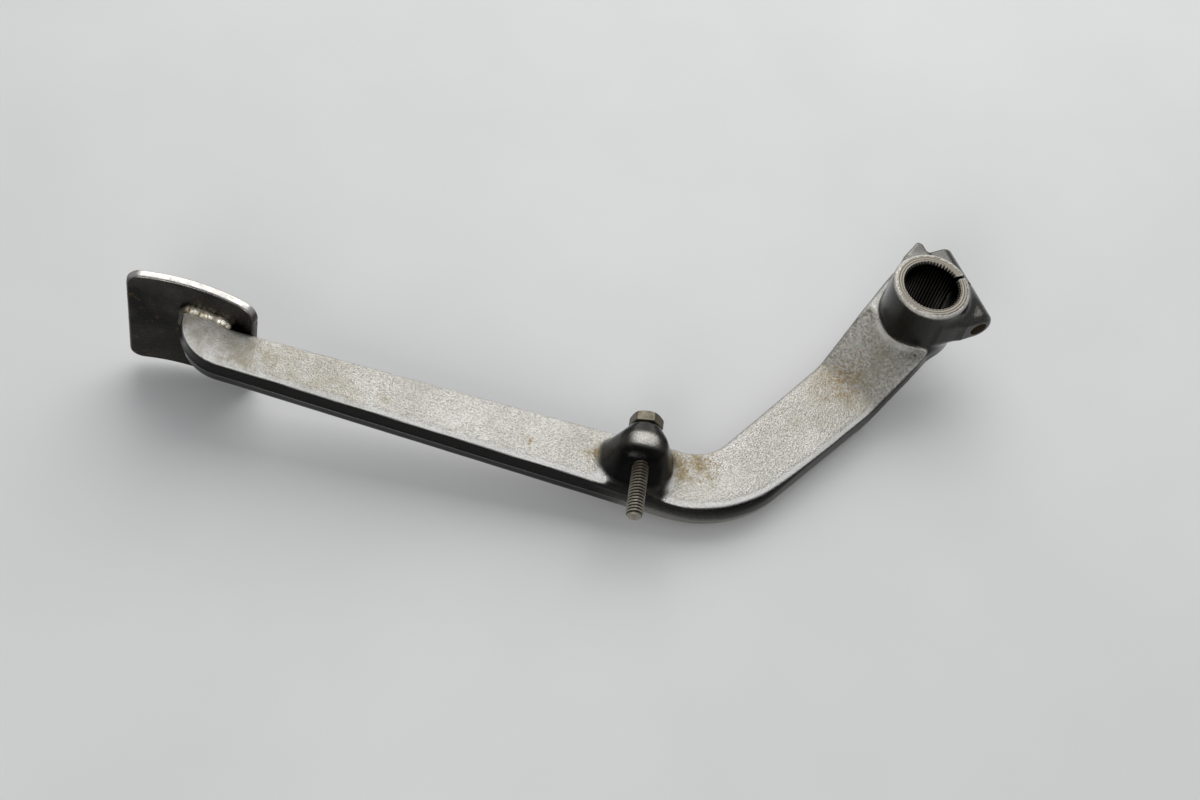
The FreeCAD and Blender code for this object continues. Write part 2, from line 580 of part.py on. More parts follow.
bore_sketch = new_sketch(lever, "bore_sketch", "XY_Plane")
circle(bore_sketch, "spline_dia")
bore = cut(lever, "bore", bore_sketch, "Dims.hub_length * 2")
bore_radius = size("spline_dia") / 2
lead = lever.newObject("PartDesign::Chamfer", "bore_lead")
lead.Base = (bore, ["Edge%d" % n for n, edge in enumerate(bore.Shape.Edges, start=1)
                    if round_about_hub(edge, bore_radius)])
lead.setExpression("Size", "Dims.bore_lead")
doc.recompute()
groove_sketch = new_sketch(lever, "groove_sketch", "XY_Plane")
polygon(groove_sketch, [
    ("Dims.spline_dia / 2 - Dims.spline_depth", "-Dims.spline_gap"),
    ("Dims.spline_dia / 2 + Dims.spline_depth", "0"),
    ("Dims.spline_dia / 2 - Dims.spline_depth", "Dims.spline_gap"),
])
groove = cut(lever, "groove", groove_sketch, "Dims.hub_length * 2")
serrations = lever.newObject("PartDesign::PolarPattern", "serrations")
serrations.Originals = [groove]
serrations.Axis = (groove_sketch, ["N_Axis"])
serrations.Angle = 360
serrations.setExpression("Occurrences", "Dims.spline_count")
lever.Tip = serrations
doc.recompute()

slit_sketch = new_sketch(lever, "slit_sketch", "XY_Plane", None, (0, 0, 1), slit_turn)
polygon(slit_sketch, [
    ("0", "-Dims.slit_width / 2"),
    ("Dims.pinch_reach + Dims.pinch_lug_dia", "-Dims.slit_width / 2"),
    ("Dims.pinch_reach + Dims.pinch_lug_dia", "Dims.slit_width / 2"),
    ("0", "Dims.slit_width / 2"),
])
slit = cut(lever, "slit", slit_sketch, "Dims.hub_length * 2")
pinch_sketch = new_sketch(lever, "pinch_sketch", "XZ_Plane", None, (0, 1, 0), slit_turn)
circle(pinch_sketch, "pinch_hole_dia", "pinch_reach", "pinch_rise")
pinch = cut(lever, "pinch_hole", pinch_sketch, "Dims.pinch_seat * 4")

# The foot pad: one bowed plate with rounded corners and softened edges.
pad = new_body("foot_pad")
pad_sketch = new_sketch(pad, "pad_sketch", "XY_Plane",
                        pad_base("-Dims.arm_drop - Dims.pad_offset"))
bowed_plate(pad_sketch, "Dims.pad_thick", "Dims.pad_front", "Dims.pad_rear")
plate = pad.newObject("PartDesign::Pad", "plate")
plate.Profile = pad_sketch
plate.SideType = "Symmetric"
plate.setExpression("Length", "Dims.pad_high")
doc.recompute()
round_edges(pad, "pad_corners", "pad_corner",
            lambda edge: abs(edge.Length - size("pad_thick")) < 0.01)
cornered = pad.Tip
rims = [n for n, edge in enumerate(cornered.Shape.Edges, start=1)
        if abs(edge.Length - size("pad_thick")) > 0.01]
breaks = pad.newObject("PartDesign::Chamfer", "pad_edges")
breaks.Base = (cornered, ["Edge%d" % n for n in rims])
breaks.setExpression("Size", "Dims.pad_edge_break")
doc.recompute()

# The stop screw: hexagon head, plain shank at the thread's outside, chamfered end.
screw = new_body("stop_screw")
shank_sketch = new_sketch(screw, "shank_sketch", "XZ_Plane", along_screw("0"),
                          (0, 1, 0), screw_turn)
circle(shank_sketch, "screw_dia")
shank = screw.newObject("PartDesign::Pad", "shank")
shank.Profile = shank_sketch
shank.SideType = "Two sides"
shank.setExpression("Length", "Dims.screw_length - Dims.screw_seat - Dims.screw_head_gap")
shank.setExpression("Length2", "Dims.screw_seat + Dims.screw_head_gap")
doc.recompute()
point = screw.newObject("PartDesign::Chamfer", "point")
tip = max(range(len(shank.Shape.Edges)), key=lambda n: -shank.Shape.Edges[n].BoundBox.YMax)
point.Base = (shank, ["Edge%d" % (tip + 1)])
point.setExpression("Size", "Dims.screw_point")
head_sketch = new_sketch(screw, "head_sketch", "XZ_Plane",
                         along_screw("-Dims.screw_seat - Dims.screw_head_gap"),
                         (0, 1, 0), screw_turn)
hexagon(head_sketch, "screw_head_flats", "screw_head_turn")
head = screw.newObject("PartDesign::Pad", "head")
head.Profile = head_sketch
head.Reversed = True
head.setExpression("Length", "Dims.screw_head_high")
doc.recompute()
crown_sketch = new_sketch(screw, "crown_sketch", "XY_Plane",
                          {"x": boss_x, "y": boss_y, "z": face_z + " + Dims.screw_rise"},
                          (0, 0, 1), screw_turn)
head_top = "Dims.screw_seat + Dims.screw_head_gap + Dims.screw_head_high"
crown_run = "(2 * Dims.screw_head_flats - Dims.screw_crown)"
corner_run = "(Dims.screw_head_flats / cos(30 deg) - Dims.screw_crown)"
crown_fall = "Dims.screw_crown_drop * " + crown_run + " / " + corner_run
polygon(crown_sketch, [
    ("Dims.screw_crown / 2", head_top),
    ("Dims.screw_head_flats", head_top),
    ("Dims.screw_head_flats", head_top + " - " + crown_fall),
])
crown = screw.newObject("PartDesign::Groove", "crown")
crown.Profile = crown_sketch
crown.ReferenceAxis = (crown_sketch, ["V_Axis"])
crown.Angle = 360
doc.recompute()

# The weld: a bead all round the arm's end, from the pad's hollow back down onto the arm.
bead = new_body("weld_bead")
bead_foot = new_sketch(bead, "bead_foot", "XZ_Plane", {
    "x": "-" + end_axis,
    "y": "-Dims.arm_drop",
    "z": arm_axis + " - Dims.pad_stand",
})
rounded_block(bead_foot, "weld_long", "weld_wide", "weld_corner")
bead_neck = new_sketch(bead, "bead_neck", "XZ_Plane", {
    "x": "-" + end_axis,
    "y": "-Dims.arm_drop",
    "z": arm_axis + " - Dims.pad_stand + Dims.weld_high",
})
rounded_block(bead_neck, "arm_width_end", "arm_thick", "arm_edge_round")
bead_loft = bead.newObject("PartDesign::AdditiveLoft", "bead_loft")
bead_loft.Profile = bead_foot
bead_loft.Sections = [bead_neck]
bead_loft.Ruled = True
doc.recompute()

# All pieces are laid down by one turn about a level line through the hub's middle.
for body in (lever, pad, screw, bead):
    laid = FreeCAD.Rotation(FreeCAD.Vector(0, 1, 0), 1.0)
    body.Placement = FreeCAD.Placement(FreeCAD.Vector(), laid)
    body.setExpression("Placement.Rotation.Axis.x", "-sin(Dims.rest_heading * 1 deg)")
    body.setExpression("Placement.Rotation.Axis.y", "cos(Dims.rest_heading * 1 deg)")
    body.setExpression("Placement.Rotation.Angle", "Dims.rest_tilt * 1 deg")
bead_off_pad = doc.addObject("Part::Cut", "bead_off_pad")
bead_off_pad.Base = bead
bead_off_pad.Tool = pad
weld = doc.addObject("Part::Cut", "pad_weld")
weld.Label = "pad_weld"
weld.Base = bead_off_pad
weld.Tool = lever
doc.recompute()

for item in doc.Objects:
    if "Invalid" in item.State or "Error" in item.State:
        raise RuntimeError(item.Name + " failed: " + item.getStatusString())
os.makedirs("parts", exist_ok=True)
for piece in (lever, pad, weld, screw):
    if piece.Shape.isNull() or not piece.Shape.isValid() or len(piece.Shape.Solids) != 1:
        raise RuntimeError(piece.Label + " is not one sound solid")
    piece.Shape.exportStep("parts/" + piece.Label + ".step")
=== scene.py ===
import math

import bpy
import numpy as np
from mathutils import Matrix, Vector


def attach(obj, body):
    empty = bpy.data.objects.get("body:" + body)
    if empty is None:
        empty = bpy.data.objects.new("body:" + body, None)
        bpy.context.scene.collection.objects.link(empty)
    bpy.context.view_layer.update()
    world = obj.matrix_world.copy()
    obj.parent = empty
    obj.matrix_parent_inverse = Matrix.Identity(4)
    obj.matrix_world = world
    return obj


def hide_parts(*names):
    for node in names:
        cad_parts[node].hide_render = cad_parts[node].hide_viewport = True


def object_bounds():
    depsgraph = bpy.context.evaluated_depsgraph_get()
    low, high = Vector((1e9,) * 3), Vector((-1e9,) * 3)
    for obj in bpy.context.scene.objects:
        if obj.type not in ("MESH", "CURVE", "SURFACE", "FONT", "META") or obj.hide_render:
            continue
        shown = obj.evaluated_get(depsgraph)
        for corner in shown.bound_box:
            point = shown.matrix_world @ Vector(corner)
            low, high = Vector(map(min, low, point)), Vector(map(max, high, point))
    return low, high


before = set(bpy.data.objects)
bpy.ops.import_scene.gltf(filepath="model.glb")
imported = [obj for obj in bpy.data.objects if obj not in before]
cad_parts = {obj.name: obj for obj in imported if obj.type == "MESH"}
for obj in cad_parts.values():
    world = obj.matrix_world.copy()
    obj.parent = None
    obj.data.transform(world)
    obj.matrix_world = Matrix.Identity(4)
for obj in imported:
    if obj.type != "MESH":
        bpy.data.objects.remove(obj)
cad_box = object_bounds()

# The forged lever: a steel arm drafted either side of its parting line, with the clamp hub, the pinch
# lugs, the heel and the stop boss growing out of it in soft roots, then machined and chromed.
# Sizes are in mm with the hub axis upright; lay_down turns them the way the loose lever rests.
leg_angle, leg_length, arm_length = math.radians(58.4), 107.2, 200.3
leg_dir = np.array([math.cos(leg_angle), math.sin(leg_angle)])
bend_corner = -leg_length * leg_dir
bend_radius, end_radius = 30.2, 10.8
end_x = bend_corner[0] - arm_length
arm_level, half_thick = -26.0, 6.75
face_level = arm_level + half_thick
bend_run = bend_radius * math.tan(leg_angle / 2)
pad_hollow = 87.0
pad_centre = np.array([end_x - 7.0, bend_corner[1] + 11.6 - pad_hollow])
screw_skew = math.radians(6.2)
boss_middle = np.array([bend_corner[0] - 32.4, bend_corner[1] + 3.3, face_level + 8.2])
screw_way = np.array([math.sin(screw_skew), -math.cos(screw_skew), 0.0])
screw_left = np.array([-screw_way[1], screw_way[0], 0.0])
slit_angle = math.radians(37.0)
slit_along = np.array([math.cos(slit_angle), math.sin(slit_angle), 0.0])
slit_over = np.array([-math.sin(slit_angle), math.cos(slit_angle), 0.0])
pinch_reach, pinch_rise, pinch_radius = 15.2, 4.0, 3.4
serrations, bore_radius, tooth_deep = 54, 10.2, 0.55
rest_tilt, rest_heading = math.radians(8.7), math.radians(-32.5)
upright = np.array([0.0, 0.0, 1.0])


def leaned(points, tilt):
    """Points turned by a tilt about the level line through the hub that the resting lever leans about."""
    points = np.asarray(points, float)
    axis = np.array([-math.sin(rest_heading), math.cos(rest_heading), 0.0])
    across = np.cross(axis, points)
    along = (points @ axis)[..., None] * axis
    return points * math.cos(tilt) + across * math.sin(tilt) + along * (1 - math.cos(tilt))


def lay_down(points):
    """Points in mm with the hub upright to metres with the lever at rest."""
    return leaned(points, rest_tilt) / 1000


def stand_up(points):
    """Inverse of lay_down without the change of unit."""
    return leaned(points, -rest_tilt)


def rounded_edge(first, second, radius):
    """Distance to the solid inside two walls, whose shared edge is rounded to a radius."""
    a, b = first + radius, second + radius
    return np.minimum(np.maximum(a, b), 0) + np.hypot(np.maximum(a, 0), np.maximum(b, 0)) - radius


def soft_root(first, second, root):
    """Nearer of two skins, with a concave root of about that size where they meet."""
    share = np.clip(0.5 + 0.5 * (second - first) / root, 0, 1)
    return second + (first - second) * share - root * share * (1 - share)


# Stations of the centre line in order: turned-up end, its arc, long leg, bend, hub leg.
end_rise = 12.0
end_arc = end_radius * math.pi / 2
long_leg = arm_length - end_radius - bend_run
bend_arc = bend_radius * leg_angle
leg_begin = end_rise + end_arc + long_leg + bend_arc
hub_run = leg_length - bend_run
hub_station = leg_begin + hub_run
station_step, past_hub = 0.5, 40
stations = np.arange(0, hub_station + past_hub, station_step)
climb_foot, climb_top = hub_station - 36.3, hub_station - 14.8


def along_arm(keys, values, blur):
    """Straight runs between the key stations, softened by a bell-shaped average of the given width."""
    line = np.interp(stations, keys, values)
    bell = np.exp(-0.5 * (np.arange(-30, 31) * station_step / blur) ** 2)
    padded = np.pad(line, 30, mode="edge")
    return np.convolve(padded, bell / bell.sum(), mode="valid")


arm_width = along_arm(
    [end_rise + end_arc + 5.4, end_rise + end_arc + 142.6, leg_begin, climb_foot,
     climb_top, hub_station + 11.5],
    [17.7, 23.5, 26.9, 28.4, 31.3, 32.5], 3.5)
arm_rise = along_arm([climb_foot, climb_top], [arm_level, -10.4], 2.2)
arm_thick = along_arm([climb_foot, climb_top], [2 * half_thick, 11.2], 3.0)
arm_shift = along_arm([climb_foot, climb_top, hub_station + 11.5], [0.0, 0.5, 4.6], 3.0)
arm_steep = 1 / np.hypot(1, np.gradient(arm_rise, station_step))


def arm_place(x, y):
    """Station along the centre line and offset to its left, from the nearest of its straights and arcs."""
    tries = []
    for start, way, length, station in (
            ((end_x, bend_corner[1] + end_radius + end_rise), (0, -1), end_rise, 0),
            ((end_x + end_radius, bend_corner[1]), (1, 0), long_leg, end_rise + end_arc),
            (tuple(-hub_run * leg_dir), tuple(leg_dir), hub_run + past_hub, leg_begin)):
        dx, dy = x - start[0], y - start[1]
        run = dx * way[0] + dy * way[1]
        side = dy * way[0] - dx * way[1]
        over = np.maximum(np.maximum(-run, run - length), 0)
        tries.append((np.hypot(side, over), station + np.clip(run, 0, length), side))
    for centre, radius, begin, sweep, station in (
            ((end_x + end_radius, bend_corner[1] + end_radius), end_radius, math.pi, math.pi / 2, end_rise),
            ((bend_corner[0] - bend_run, bend_corner[1] + bend_radius), bend_radius, 1.5 * math.pi,
             leg_angle, leg_begin - bend_arc)):
        dx, dy = x - centre[0], y - centre[1]
        turn = (np.arctan2(dy, dx) - begin + math.pi) % (2 * math.pi) - math.pi
        side = radius - np.hypot(dx, dy)
        outside = np.where((turn < 0) | (turn > sweep), 1e3, 0)
        tries.append((np.abs(side) + outside, station + np.clip(turn, 0, sweep) * radius, side))
    nearest = np.argmin([t[0] for t in tries], axis=0)
    return np.choose(nearest, [t[1] for t in tries]), np.choose(nearest, [t[2] for t in tries])


def outer_bend(station, side):
    """Bell over the stations of the bend, on its outer side only."""
    return np.exp(-((station - leg_begin + bend_arc / 2 - 4) / 26) ** 2) * (side < 0)


def forged_arm(x, y, z):
    """Drafted hexagon with rounded edges carried along the centre line, with a fine ridge at its parting."""
    station, side = arm_place(x, y)
    height = z - np.interp(station, stations, arm_rise)
    steep = np.interp(station, stations, arm_steep)
    flat = (np.abs(height) - np.interp(station, stations, arm_thick) / 2) * steep
    offset = np.abs(side - np.interp(station, stations, arm_shift))
    draft = math.radians(7.0)
    wall = offset - np.interp(station, stations, arm_width) / 2 + np.abs(height) * math.tan(draft)
    ridge = 0.22 * np.exp(-(height / 0.6) ** 2)
    blunt = 2.3 + 2.0 * outer_bend(station, side)
    arm = rounded_edge(flat, wall * math.cos(draft) - ridge, blunt)
    arm = rounded_edge(arm, x * leg_dir[0] + y * leg_dir[1] - 11.5, 1.5)
    fitted = np.hypot(x - pad_centre[0], y - pad_centre[1]) - pad_hollow - 0.25
    return np.maximum(arm, np.where(x < end_x + 15, fitted, -60))


def clamp_hub(x, y, z):
    """Barrel with a stepped-in lower end, round lugs webbed to it on the pinch axis, and the heel's prism."""
    radius = np.hypot(x, y)
    barrel = rounded_edge(radius - 15.0, np.abs(z - 1.75) - 14.25, 1.4)
    nose = rounded_edge(radius - 12.8, np.abs(z) - 16.0, 0.8)
    along = x * math.cos(slit_angle) + y * math.sin(slit_angle)
    over = y * math.cos(slit_angle) - x * math.sin(slit_angle)
    lug_round = np.hypot(np.maximum(along - pinch_reach, 0), z - pinch_rise) - 6.4
    lugs = rounded_edge(lug_round, over - 17.6, 1.1)
    lugs = rounded_edge(lugs, np.maximum(-17.2 - over, (-over - 14.0 - 0.364 * along) / 1.064), 2.4)
    lugs = np.maximum(lugs, -along)
    outline = np.array([(-7.5, 12.9), (-7.5, 7.5), (9.5, 7.5), (9.5, 21.6), (7.9, 23.2), (0.0, 19.1)])
    heel = np.full_like(x, -50.0)
    for start, stop in zip(outline, np.roll(outline, -1, axis=0)):
        edge = (stop - start) / np.linalg.norm(stop - start)
        heel = np.maximum(heel, (along - start[0]) * edge[1] - (over - start[1]) * edge[0])
    heel = rounded_edge(heel, np.abs(z + 2.5) - 13.5, 1.3)
    hub = soft_root(np.minimum(barrel, nose), lugs, 5.0)
    return soft_root(hub, heel, 1.6)


def stop_boss(x, y, z):
    """Bell of rounded-off ellipses that shrink from foot to top, joined to a round lug about the screw."""
    dx, dy = x - boss_middle[0], y - boss_middle[1]
    across = dx * screw_way[0] + dy * screw_way[1]
    along = dx * -screw_way[1] + dy * screw_way[0]
    rise = np.clip((z - face_level + 2.3) / 16.9, 0, 1)
    long_half = np.where(along < 0, 6.8 + 10.4 * (1 - rise), 6.8 + 7.2 * (1 - rise) ** 0.85)
    wide_half = 6.0 + 4.7 * (1 - rise) ** 0.8
    power, forward = 2.7, 3.9 * (1 - rise) ** 0.9
    shrink = np.abs(along / long_half) ** power + np.abs((across - forward) / wide_half) ** power
    shrink = shrink ** (1 / power)
    bell = (shrink - 1) * np.minimum(long_half, wide_half) * 0.85
    bell = rounded_edge(bell, np.abs(z - face_level - 5.3) - 9.2, 3.6)
    lug = rounded_edge(np.hypot(along, z - boss_middle[2]) - 6.2, np.abs(across + 2.4) - 4.5, 0.8)
    return soft_root(bell, lug, 2.0)


def forging_skin(points):
    """Arm, boss and hub run together, with the slow waviness of a hammered die over all of it."""
    x, y, z = points[:, 0], points[:, 1], points[:, 2]
    skin = soft_root(forged_arm(x, y, z), stop_boss(x, y, z), 3.2)
    skin = soft_root(skin, clamp_hub(x, y, z), 2.8)
    wave = np.sin(x / 5.1 + 1.3 * np.sin(y / 7.7)) * np.sin(y / 4.3 + z / 6.1) * np.sin(z / 3.9 + x / 9.2)
    return skin + 0.07 * wave * (np.hypot(x, y) > 18)


def skin_mesh(field, low, high, step):
    """Quads on a field's zero level, one corner in each grid cell it crosses, drawn onto it in two steps.

    A coarse grid of every fourth point finds the cells near the skin, so only those are worked out finely."""
    counts = (np.ceil((np.array(high) - low) / (4 * step)).astype(int)) * 4 + 1
    axes = [low[i] + step * np.arange(counts[i]) for i in range(3)]
    rough = np.stack(np.meshgrid(*[a[::4] for a in axes], indexing="ij"), -1)
    rough_value = field(rough.reshape(-1, 3)).reshape(rough.shape[:3])
    near = np.abs(rough_value) < 8 * step
    value = np.kron(np.where(rough_value < 0, -9.0, 9.0), np.ones((4, 4, 4)))
    active = np.kron(near, np.ones((4, 4, 4), bool))
    value = value[:counts[0] + 2, :counts[1] + 2, :counts[2] + 2]
    active = active[:counts[0] + 2, :counts[1] + 2, :counts[2] + 2]
    value = np.roll(value, (-2, -2, -2), (0, 1, 2))[:counts[0] - 4, :counts[1] - 4, :counts[2] - 4]
    active = np.roll(active, (-2, -2, -2), (0, 1, 2))[:counts[0] - 4, :counts[1] - 4, :counts[2] - 4]
    at = np.argwhere(active)
    value[active] = field(np.array(low) + step * at)
    inside = value < 0
    shape = np.array(value.shape) - 1
    corners = [(i, j, k) for i in (0, 1) for j in (0, 1) for k in (0, 1)]
    blocks = [inside[i:shape[0] + i, j:shape[1] + j, k:shape[2] + k] for i, j, k in corners]
    filled = sum(b.astype(np.int8) for b in blocks)
    cells = np.argwhere((filled > 0) & (filled < 8))
    number = np.full(shape, -1)
    number[tuple(cells.T)] = np.arange(len(cells))
    total, crossings = np.zeros((len(cells), 3)), np.zeros((len(cells), 1))
    for first in corners:
        for axis in range(3):
            if first[axis]:
                continue
            second = np.array(first)
            second[axis] = 1
            a = value[tuple((cells + first).T)]
            b = value[tuple((cells + second).T)]
            crossed = (a < 0) != (b < 0)
            share = np.where(crossed, a / np.where(crossed, a - b, 1), 0)
            spot = cells + np.array(first) + share[:, None] * np.eye(3)[axis]
            total += spot * crossed[:, None]
            crossings += crossed[:, None]
    points = np.array(low) + step * total / crossings
    for _ in range(2):
        slope = np.stack([(field(points + d) - field(points - d)) / 0.1 for d in 0.05 * np.eye(3)], 1)
        length2 = np.maximum((slope ** 2).sum(1), 0.2)
        move = (field(points) / length2)[:, None] * slope
        points = points - np.clip(move, -0.6 * step, 0.6 * step)
    faces = []
    for axis in range(3):
        one, two = (axis + 1) % 3, (axis + 2) % 3
        ahead = np.roll(inside, -1, axis)
        change = inside != ahead
        index = np.argwhere(change)
        index = index[(index[:, axis] < shape[axis]) & (index[:, one] > 0) & (index[:, two] > 0)
                      & (index[:, one] < shape[one]) & (index[:, two] < shape[two])]
        ring = []
        for back_one, back_two in ((1, 1), (0, 1), (0, 0), (1, 0)):
            cell = index.copy()
            cell[:, one] -= back_one
            cell[:, two] -= back_two
            ring.append(number[tuple(cell.T)])
        ring = np.stack(ring, 1)
        outward = inside[tuple(index.T)]
        faces.append(np.where(outward[:, None], ring, ring[:, ::-1]))
    return points, np.concatenate(faces)


def mesh_piece(name, points, faces):
    """Object at the origin from points in mm and faces of four corners, laid down with the lever."""
    mesh = bpy.data.meshes.new(name)
    mesh.from_pydata(lay_down(points), [], list(map(tuple, faces)))
    mesh.validate()
    mesh.update()
    piece = bpy.data.objects.new(name, mesh)
    bpy.context.scene.collection.objects.link(piece)
    return piece


def closed_grid(rows):
    """Points and faces of a stack of closed rings, one ring a row, with a middle point closing either end."""
    count, around = rows.shape[:2]
    ids = np.arange(count * around).reshape(count, around)
    following = np.roll(ids, -1, axis=1)
    walls = np.stack([ids[:-1], following[:-1], following[1:], ids[1:]], -1).reshape(-1, 4)
    points = np.concatenate([rows.reshape(-1, 3), rows[0].mean(0)[None], rows[-1].mean(0)[None]])
    first, last = count * around, count * around + 1
    bottom = np.stack([following[0], ids[0], np.full(around, first)], -1)
    top = np.stack([ids[-1], following[-1], np.full(around, last)], -1)
    return points, walls.tolist() + bottom.tolist() + top.tolist()


points, faces = skin_mesh(forging_skin, (-278.0, -112.0, -38.0), (36.0, 36.0, 22.0), 0.72)
forging = mesh_piece("lever_forging_skin", points, faces)

# Machining: the serrated bore with its lead-in chamfers, the saw cut, the pinch hole, and the boss
# drilled for the screw and faced off under its head, each a cutter taken off the skin.
turn = np.linspace(0, 2 * math.pi, serrations * 4, endpoint=False)
tooth = np.abs((turn * serrations / (2 * math.pi)) % 1 - 0.5) * 2
serrated = bore_radius + tooth_deep * np.clip((tooth - 0.42) / 0.58, 0, 1)
bore_rows = []
for level, chamfer in ((-18.0, 13.1), (-15.1, bore_radius), (15.1, bore_radius), (18.0, 13.1)):
    radius = np.maximum(serrated, chamfer)
    bore_rows.append(np.stack([radius * np.cos(turn), radius * np.sin(turn), np.full_like(turn, level)], -1))
bore_cutter = mesh_piece("bore_cutter", *closed_grid(np.array(bore_rows)))


def round_cutter(name, middle, way, side, profile, around=96):
    """Stepped round bar: radius and reach along its way, turned about its axis."""
    way, side = np.array(way), np.array(side)
    third = np.cross(way, side)
    turns = np.linspace(0, 2 * math.pi, around, endpoint=False)
    rows = [np.array(middle) + reach * way + radius * (np.cos(turns)[:, None] * side
            + np.sin(turns)[:, None] * third) for reach, radius in profile]
    return mesh_piece(name, *closed_grid(np.array(rows)))


half_slit = 0.7
slit_ring = [(2.0, -half_slit), (32.0, -half_slit), (32.0, half_slit), (2.0, half_slit)]
slit_rows = [[a * slit_along + b * slit_over + level * upright for a, b in slit_ring]
             for level in (-20.0, 20.0)]
slit_cutter = mesh_piece("slit_cutter", *closed_grid(np.array(slit_rows)))
pinch_cutter = round_cutter("pinch_cutter", pinch_reach * slit_along + pinch_rise * upright, slit_over,
                            slit_along, [(-30.0, pinch_radius), (30.0, pinch_radius)])
seat_reach, seat_radius, tapped_radius = -6.75, 6.9, 3.24
screw_cutter = round_cutter("screw_cutter", boss_middle, screw_way, upright,
                            [(-24.0, seat_radius), (seat_reach, seat_radius),
                             (seat_reach, tapped_radius), (24.0, tapped_radius)])
cutters = (bore_cutter, slit_cutter, pinch_cutter, screw_cutter)
for cutter in cutters:
    carve = forging.modifiers.new(cutter.name, "BOOLEAN")
    carve.operation = "DIFFERENCE"
    carve.solver = "EXACT"
    carve.object = cutter
graph = bpy.context.evaluated_depsgraph_get()
carved = bpy.data.meshes.new_from_object(forging.evaluated_get(graph))
forging.modifiers.clear()
forging.data = carved
carved.name = "lever_forging_skin"
for cutter in cutters:
    bpy.data.objects.remove(cutter)


def smooth_but_sharp(mesh, angle):
    """Smooth shading, with every edge sharper than the angle kept crisp."""
    mesh.shade_smooth()
    mesh.set_sharp_from_angle(angle=math.radians(angle))


def vertex_array(mesh, what):
    """Places or normals of all corner points of a mesh, a row each."""
    values = np.empty(len(mesh.vertices) * 3)
    mesh.vertices.foreach_get(what, values)
    return values.reshape(-1, 3)


def paint(mesh, name, values):
    """Number at each corner point of the mesh, for the material to read."""
    layer = mesh.attributes.new(name, "FLOAT", "POINT")
    layer.data.foreach_set("value", np.asarray(values, np.float32))


smooth_but_sharp(carved, 32)
spots = stand_up(vertex_array(carved, "co")) * 1000
facing = stand_up(vertex_array(carved, "normal"))
hub_radius = np.hypot(spots[:, 0], spots[:, 1])


def ease(low, high, values):
    """Smooth step from 0 at the low value to 1 at the high one."""
    share = np.clip((values - low) / (high - low), 0, 1)
    return share * share * (3 - 2 * share)


# Where each corner point lies, and the share of each patch at it: climb, hub, lugs, heel, boss.
station, side = arm_place(spots[:, 0], spots[:, 1])
up = facing[:, 2]
slit_run, slit_off = spots @ slit_along, spots @ slit_over
boss_along = (spots - boss_middle) @ screw_left
boss_across = (spots - boss_middle) @ screw_way
to_hub = station - hub_station
on_climb = ease(-40, -33, to_hub) * (1 - ease(-13, -9, to_hub)) * (hub_radius > 14)
on_hub = 1 - ease(15.0, 16.4, hub_radius)
on_lugs = ease(14.4, 16.0, hub_radius) * ease(1, 5, slit_run) * (spots[:, 2] > -6)
on_heel = ease(13, 15, slit_off) * (slit_run < 10) * (spots[:, 2] > 0)
on_boss = (np.hypot(boss_along, boss_across - 2) < 21) * ease(0.8, 2.6, spots[:, 2] - face_level)
# Painted highlight on the top front of the boss.
shoulder_highlight = np.exp(-(boss_along / 4.8) ** 4 - ((boss_across - 0.9) / 2.4) ** 4) * ease(0.5, 0.85, up)
# Boss front: kept out of the lit top and the edge highlight, so it is painted dark as shade.
boss_front = (1 - ease(10.0, 14.0, np.abs(boss_along))) * ease(6.5, 9.0, boss_across)
boss_front = boss_front * (np.abs(boss_across) < 22)
off_boss = (1 - on_boss) * (1 - boss_front)

# Painted highlights: bright lines for light caught on the hub's upper rim, the root under the hub, and the
# arm's near edge.
rim = ease(13.6, 14.0, hub_radius) * (hub_radius < 15.6) * (spots[:, 2] > 13.8)
rim = rim * (0.35 + 0.65 * ease(-2, 8, -0.6 * spots[:, 0] - 0.8 * spots[:, 1]))
root = ease(15.7, 16.1, hub_radius) * (1 - ease(16.7, 17.9, hub_radius)) * ease(0.2, 0.5, up)
root = root * ease(-13, -7, side) * (1 - 0.6 * ease(4, 12, side))
root = root * (spots[:, 2] < 1) * (to_hub < -9) * (1 - on_lugs)
at_bend = outer_bend(station, side)
height = (spots[:, 2] - np.interp(station, stations, arm_rise)) / half_thick
edge = ease(0.42 + 0.34 * at_bend, 0.58 + 0.28 * at_bend, up) * (1 - ease(0.86 + 0.07 * at_bend, 0.985, up))
edge = edge * off_boss * (1 - on_hub) * (1 - on_lugs) * (1 - on_heel) * (1 - 0.75 * on_climb) * (to_hub < -14)
edge = edge * ease(0.0, 0.3, -facing[:, 1] + 0.4 * facing[:, 0]) * ease(0.35, 0.6, height)
# Painted highlight: the top face near the pad end made lighter.
by_pad = ease(-222, -248, spots[:, 0]) * ease(0.3, 0.7, up)
paint(carved, "painted_highlight", np.clip(edge + 0.7 * root + 0.6 * by_pad, 0, 1))

# Painted light and shade: lit upper faces take a bright top colour, the walls a painted dark colour, with
# painted reflections as their lighter stretches.
on_top = ease(0.46 + 0.32 * at_bend, 0.64 + 0.24 * at_bend, up) * off_boss
on_top = on_top * (1 - 0.93 * on_lugs) * (1 - 0.85 * on_heel)
on_top = np.clip(on_top + 1.1 * shoulder_highlight * on_boss + root + rim * ease(0.1, 0.5, up), 0, 1)
paint(carved, "on_top", on_top)
# Climb share: its grainy tone is partly the rough forged grain and partly painted shade for the face tilted
# from the light.
paint(carved, "climb", on_climb * ease(0.3, 0.7, up) * (1 - on_hub))
past_boss = ease(-104, -84, spots[:, 0])
long_flank = 0.65 * ease(-0.7, -0.9, height) * ease(-215, -140, spots[:, 0])
wall = past_boss * ease(0.7, -0.4, height) + (1 - past_boss) * long_flank
wall = 0.12 + 0.88 * wall * (hub_radius > 17) * (1 - on_boss)
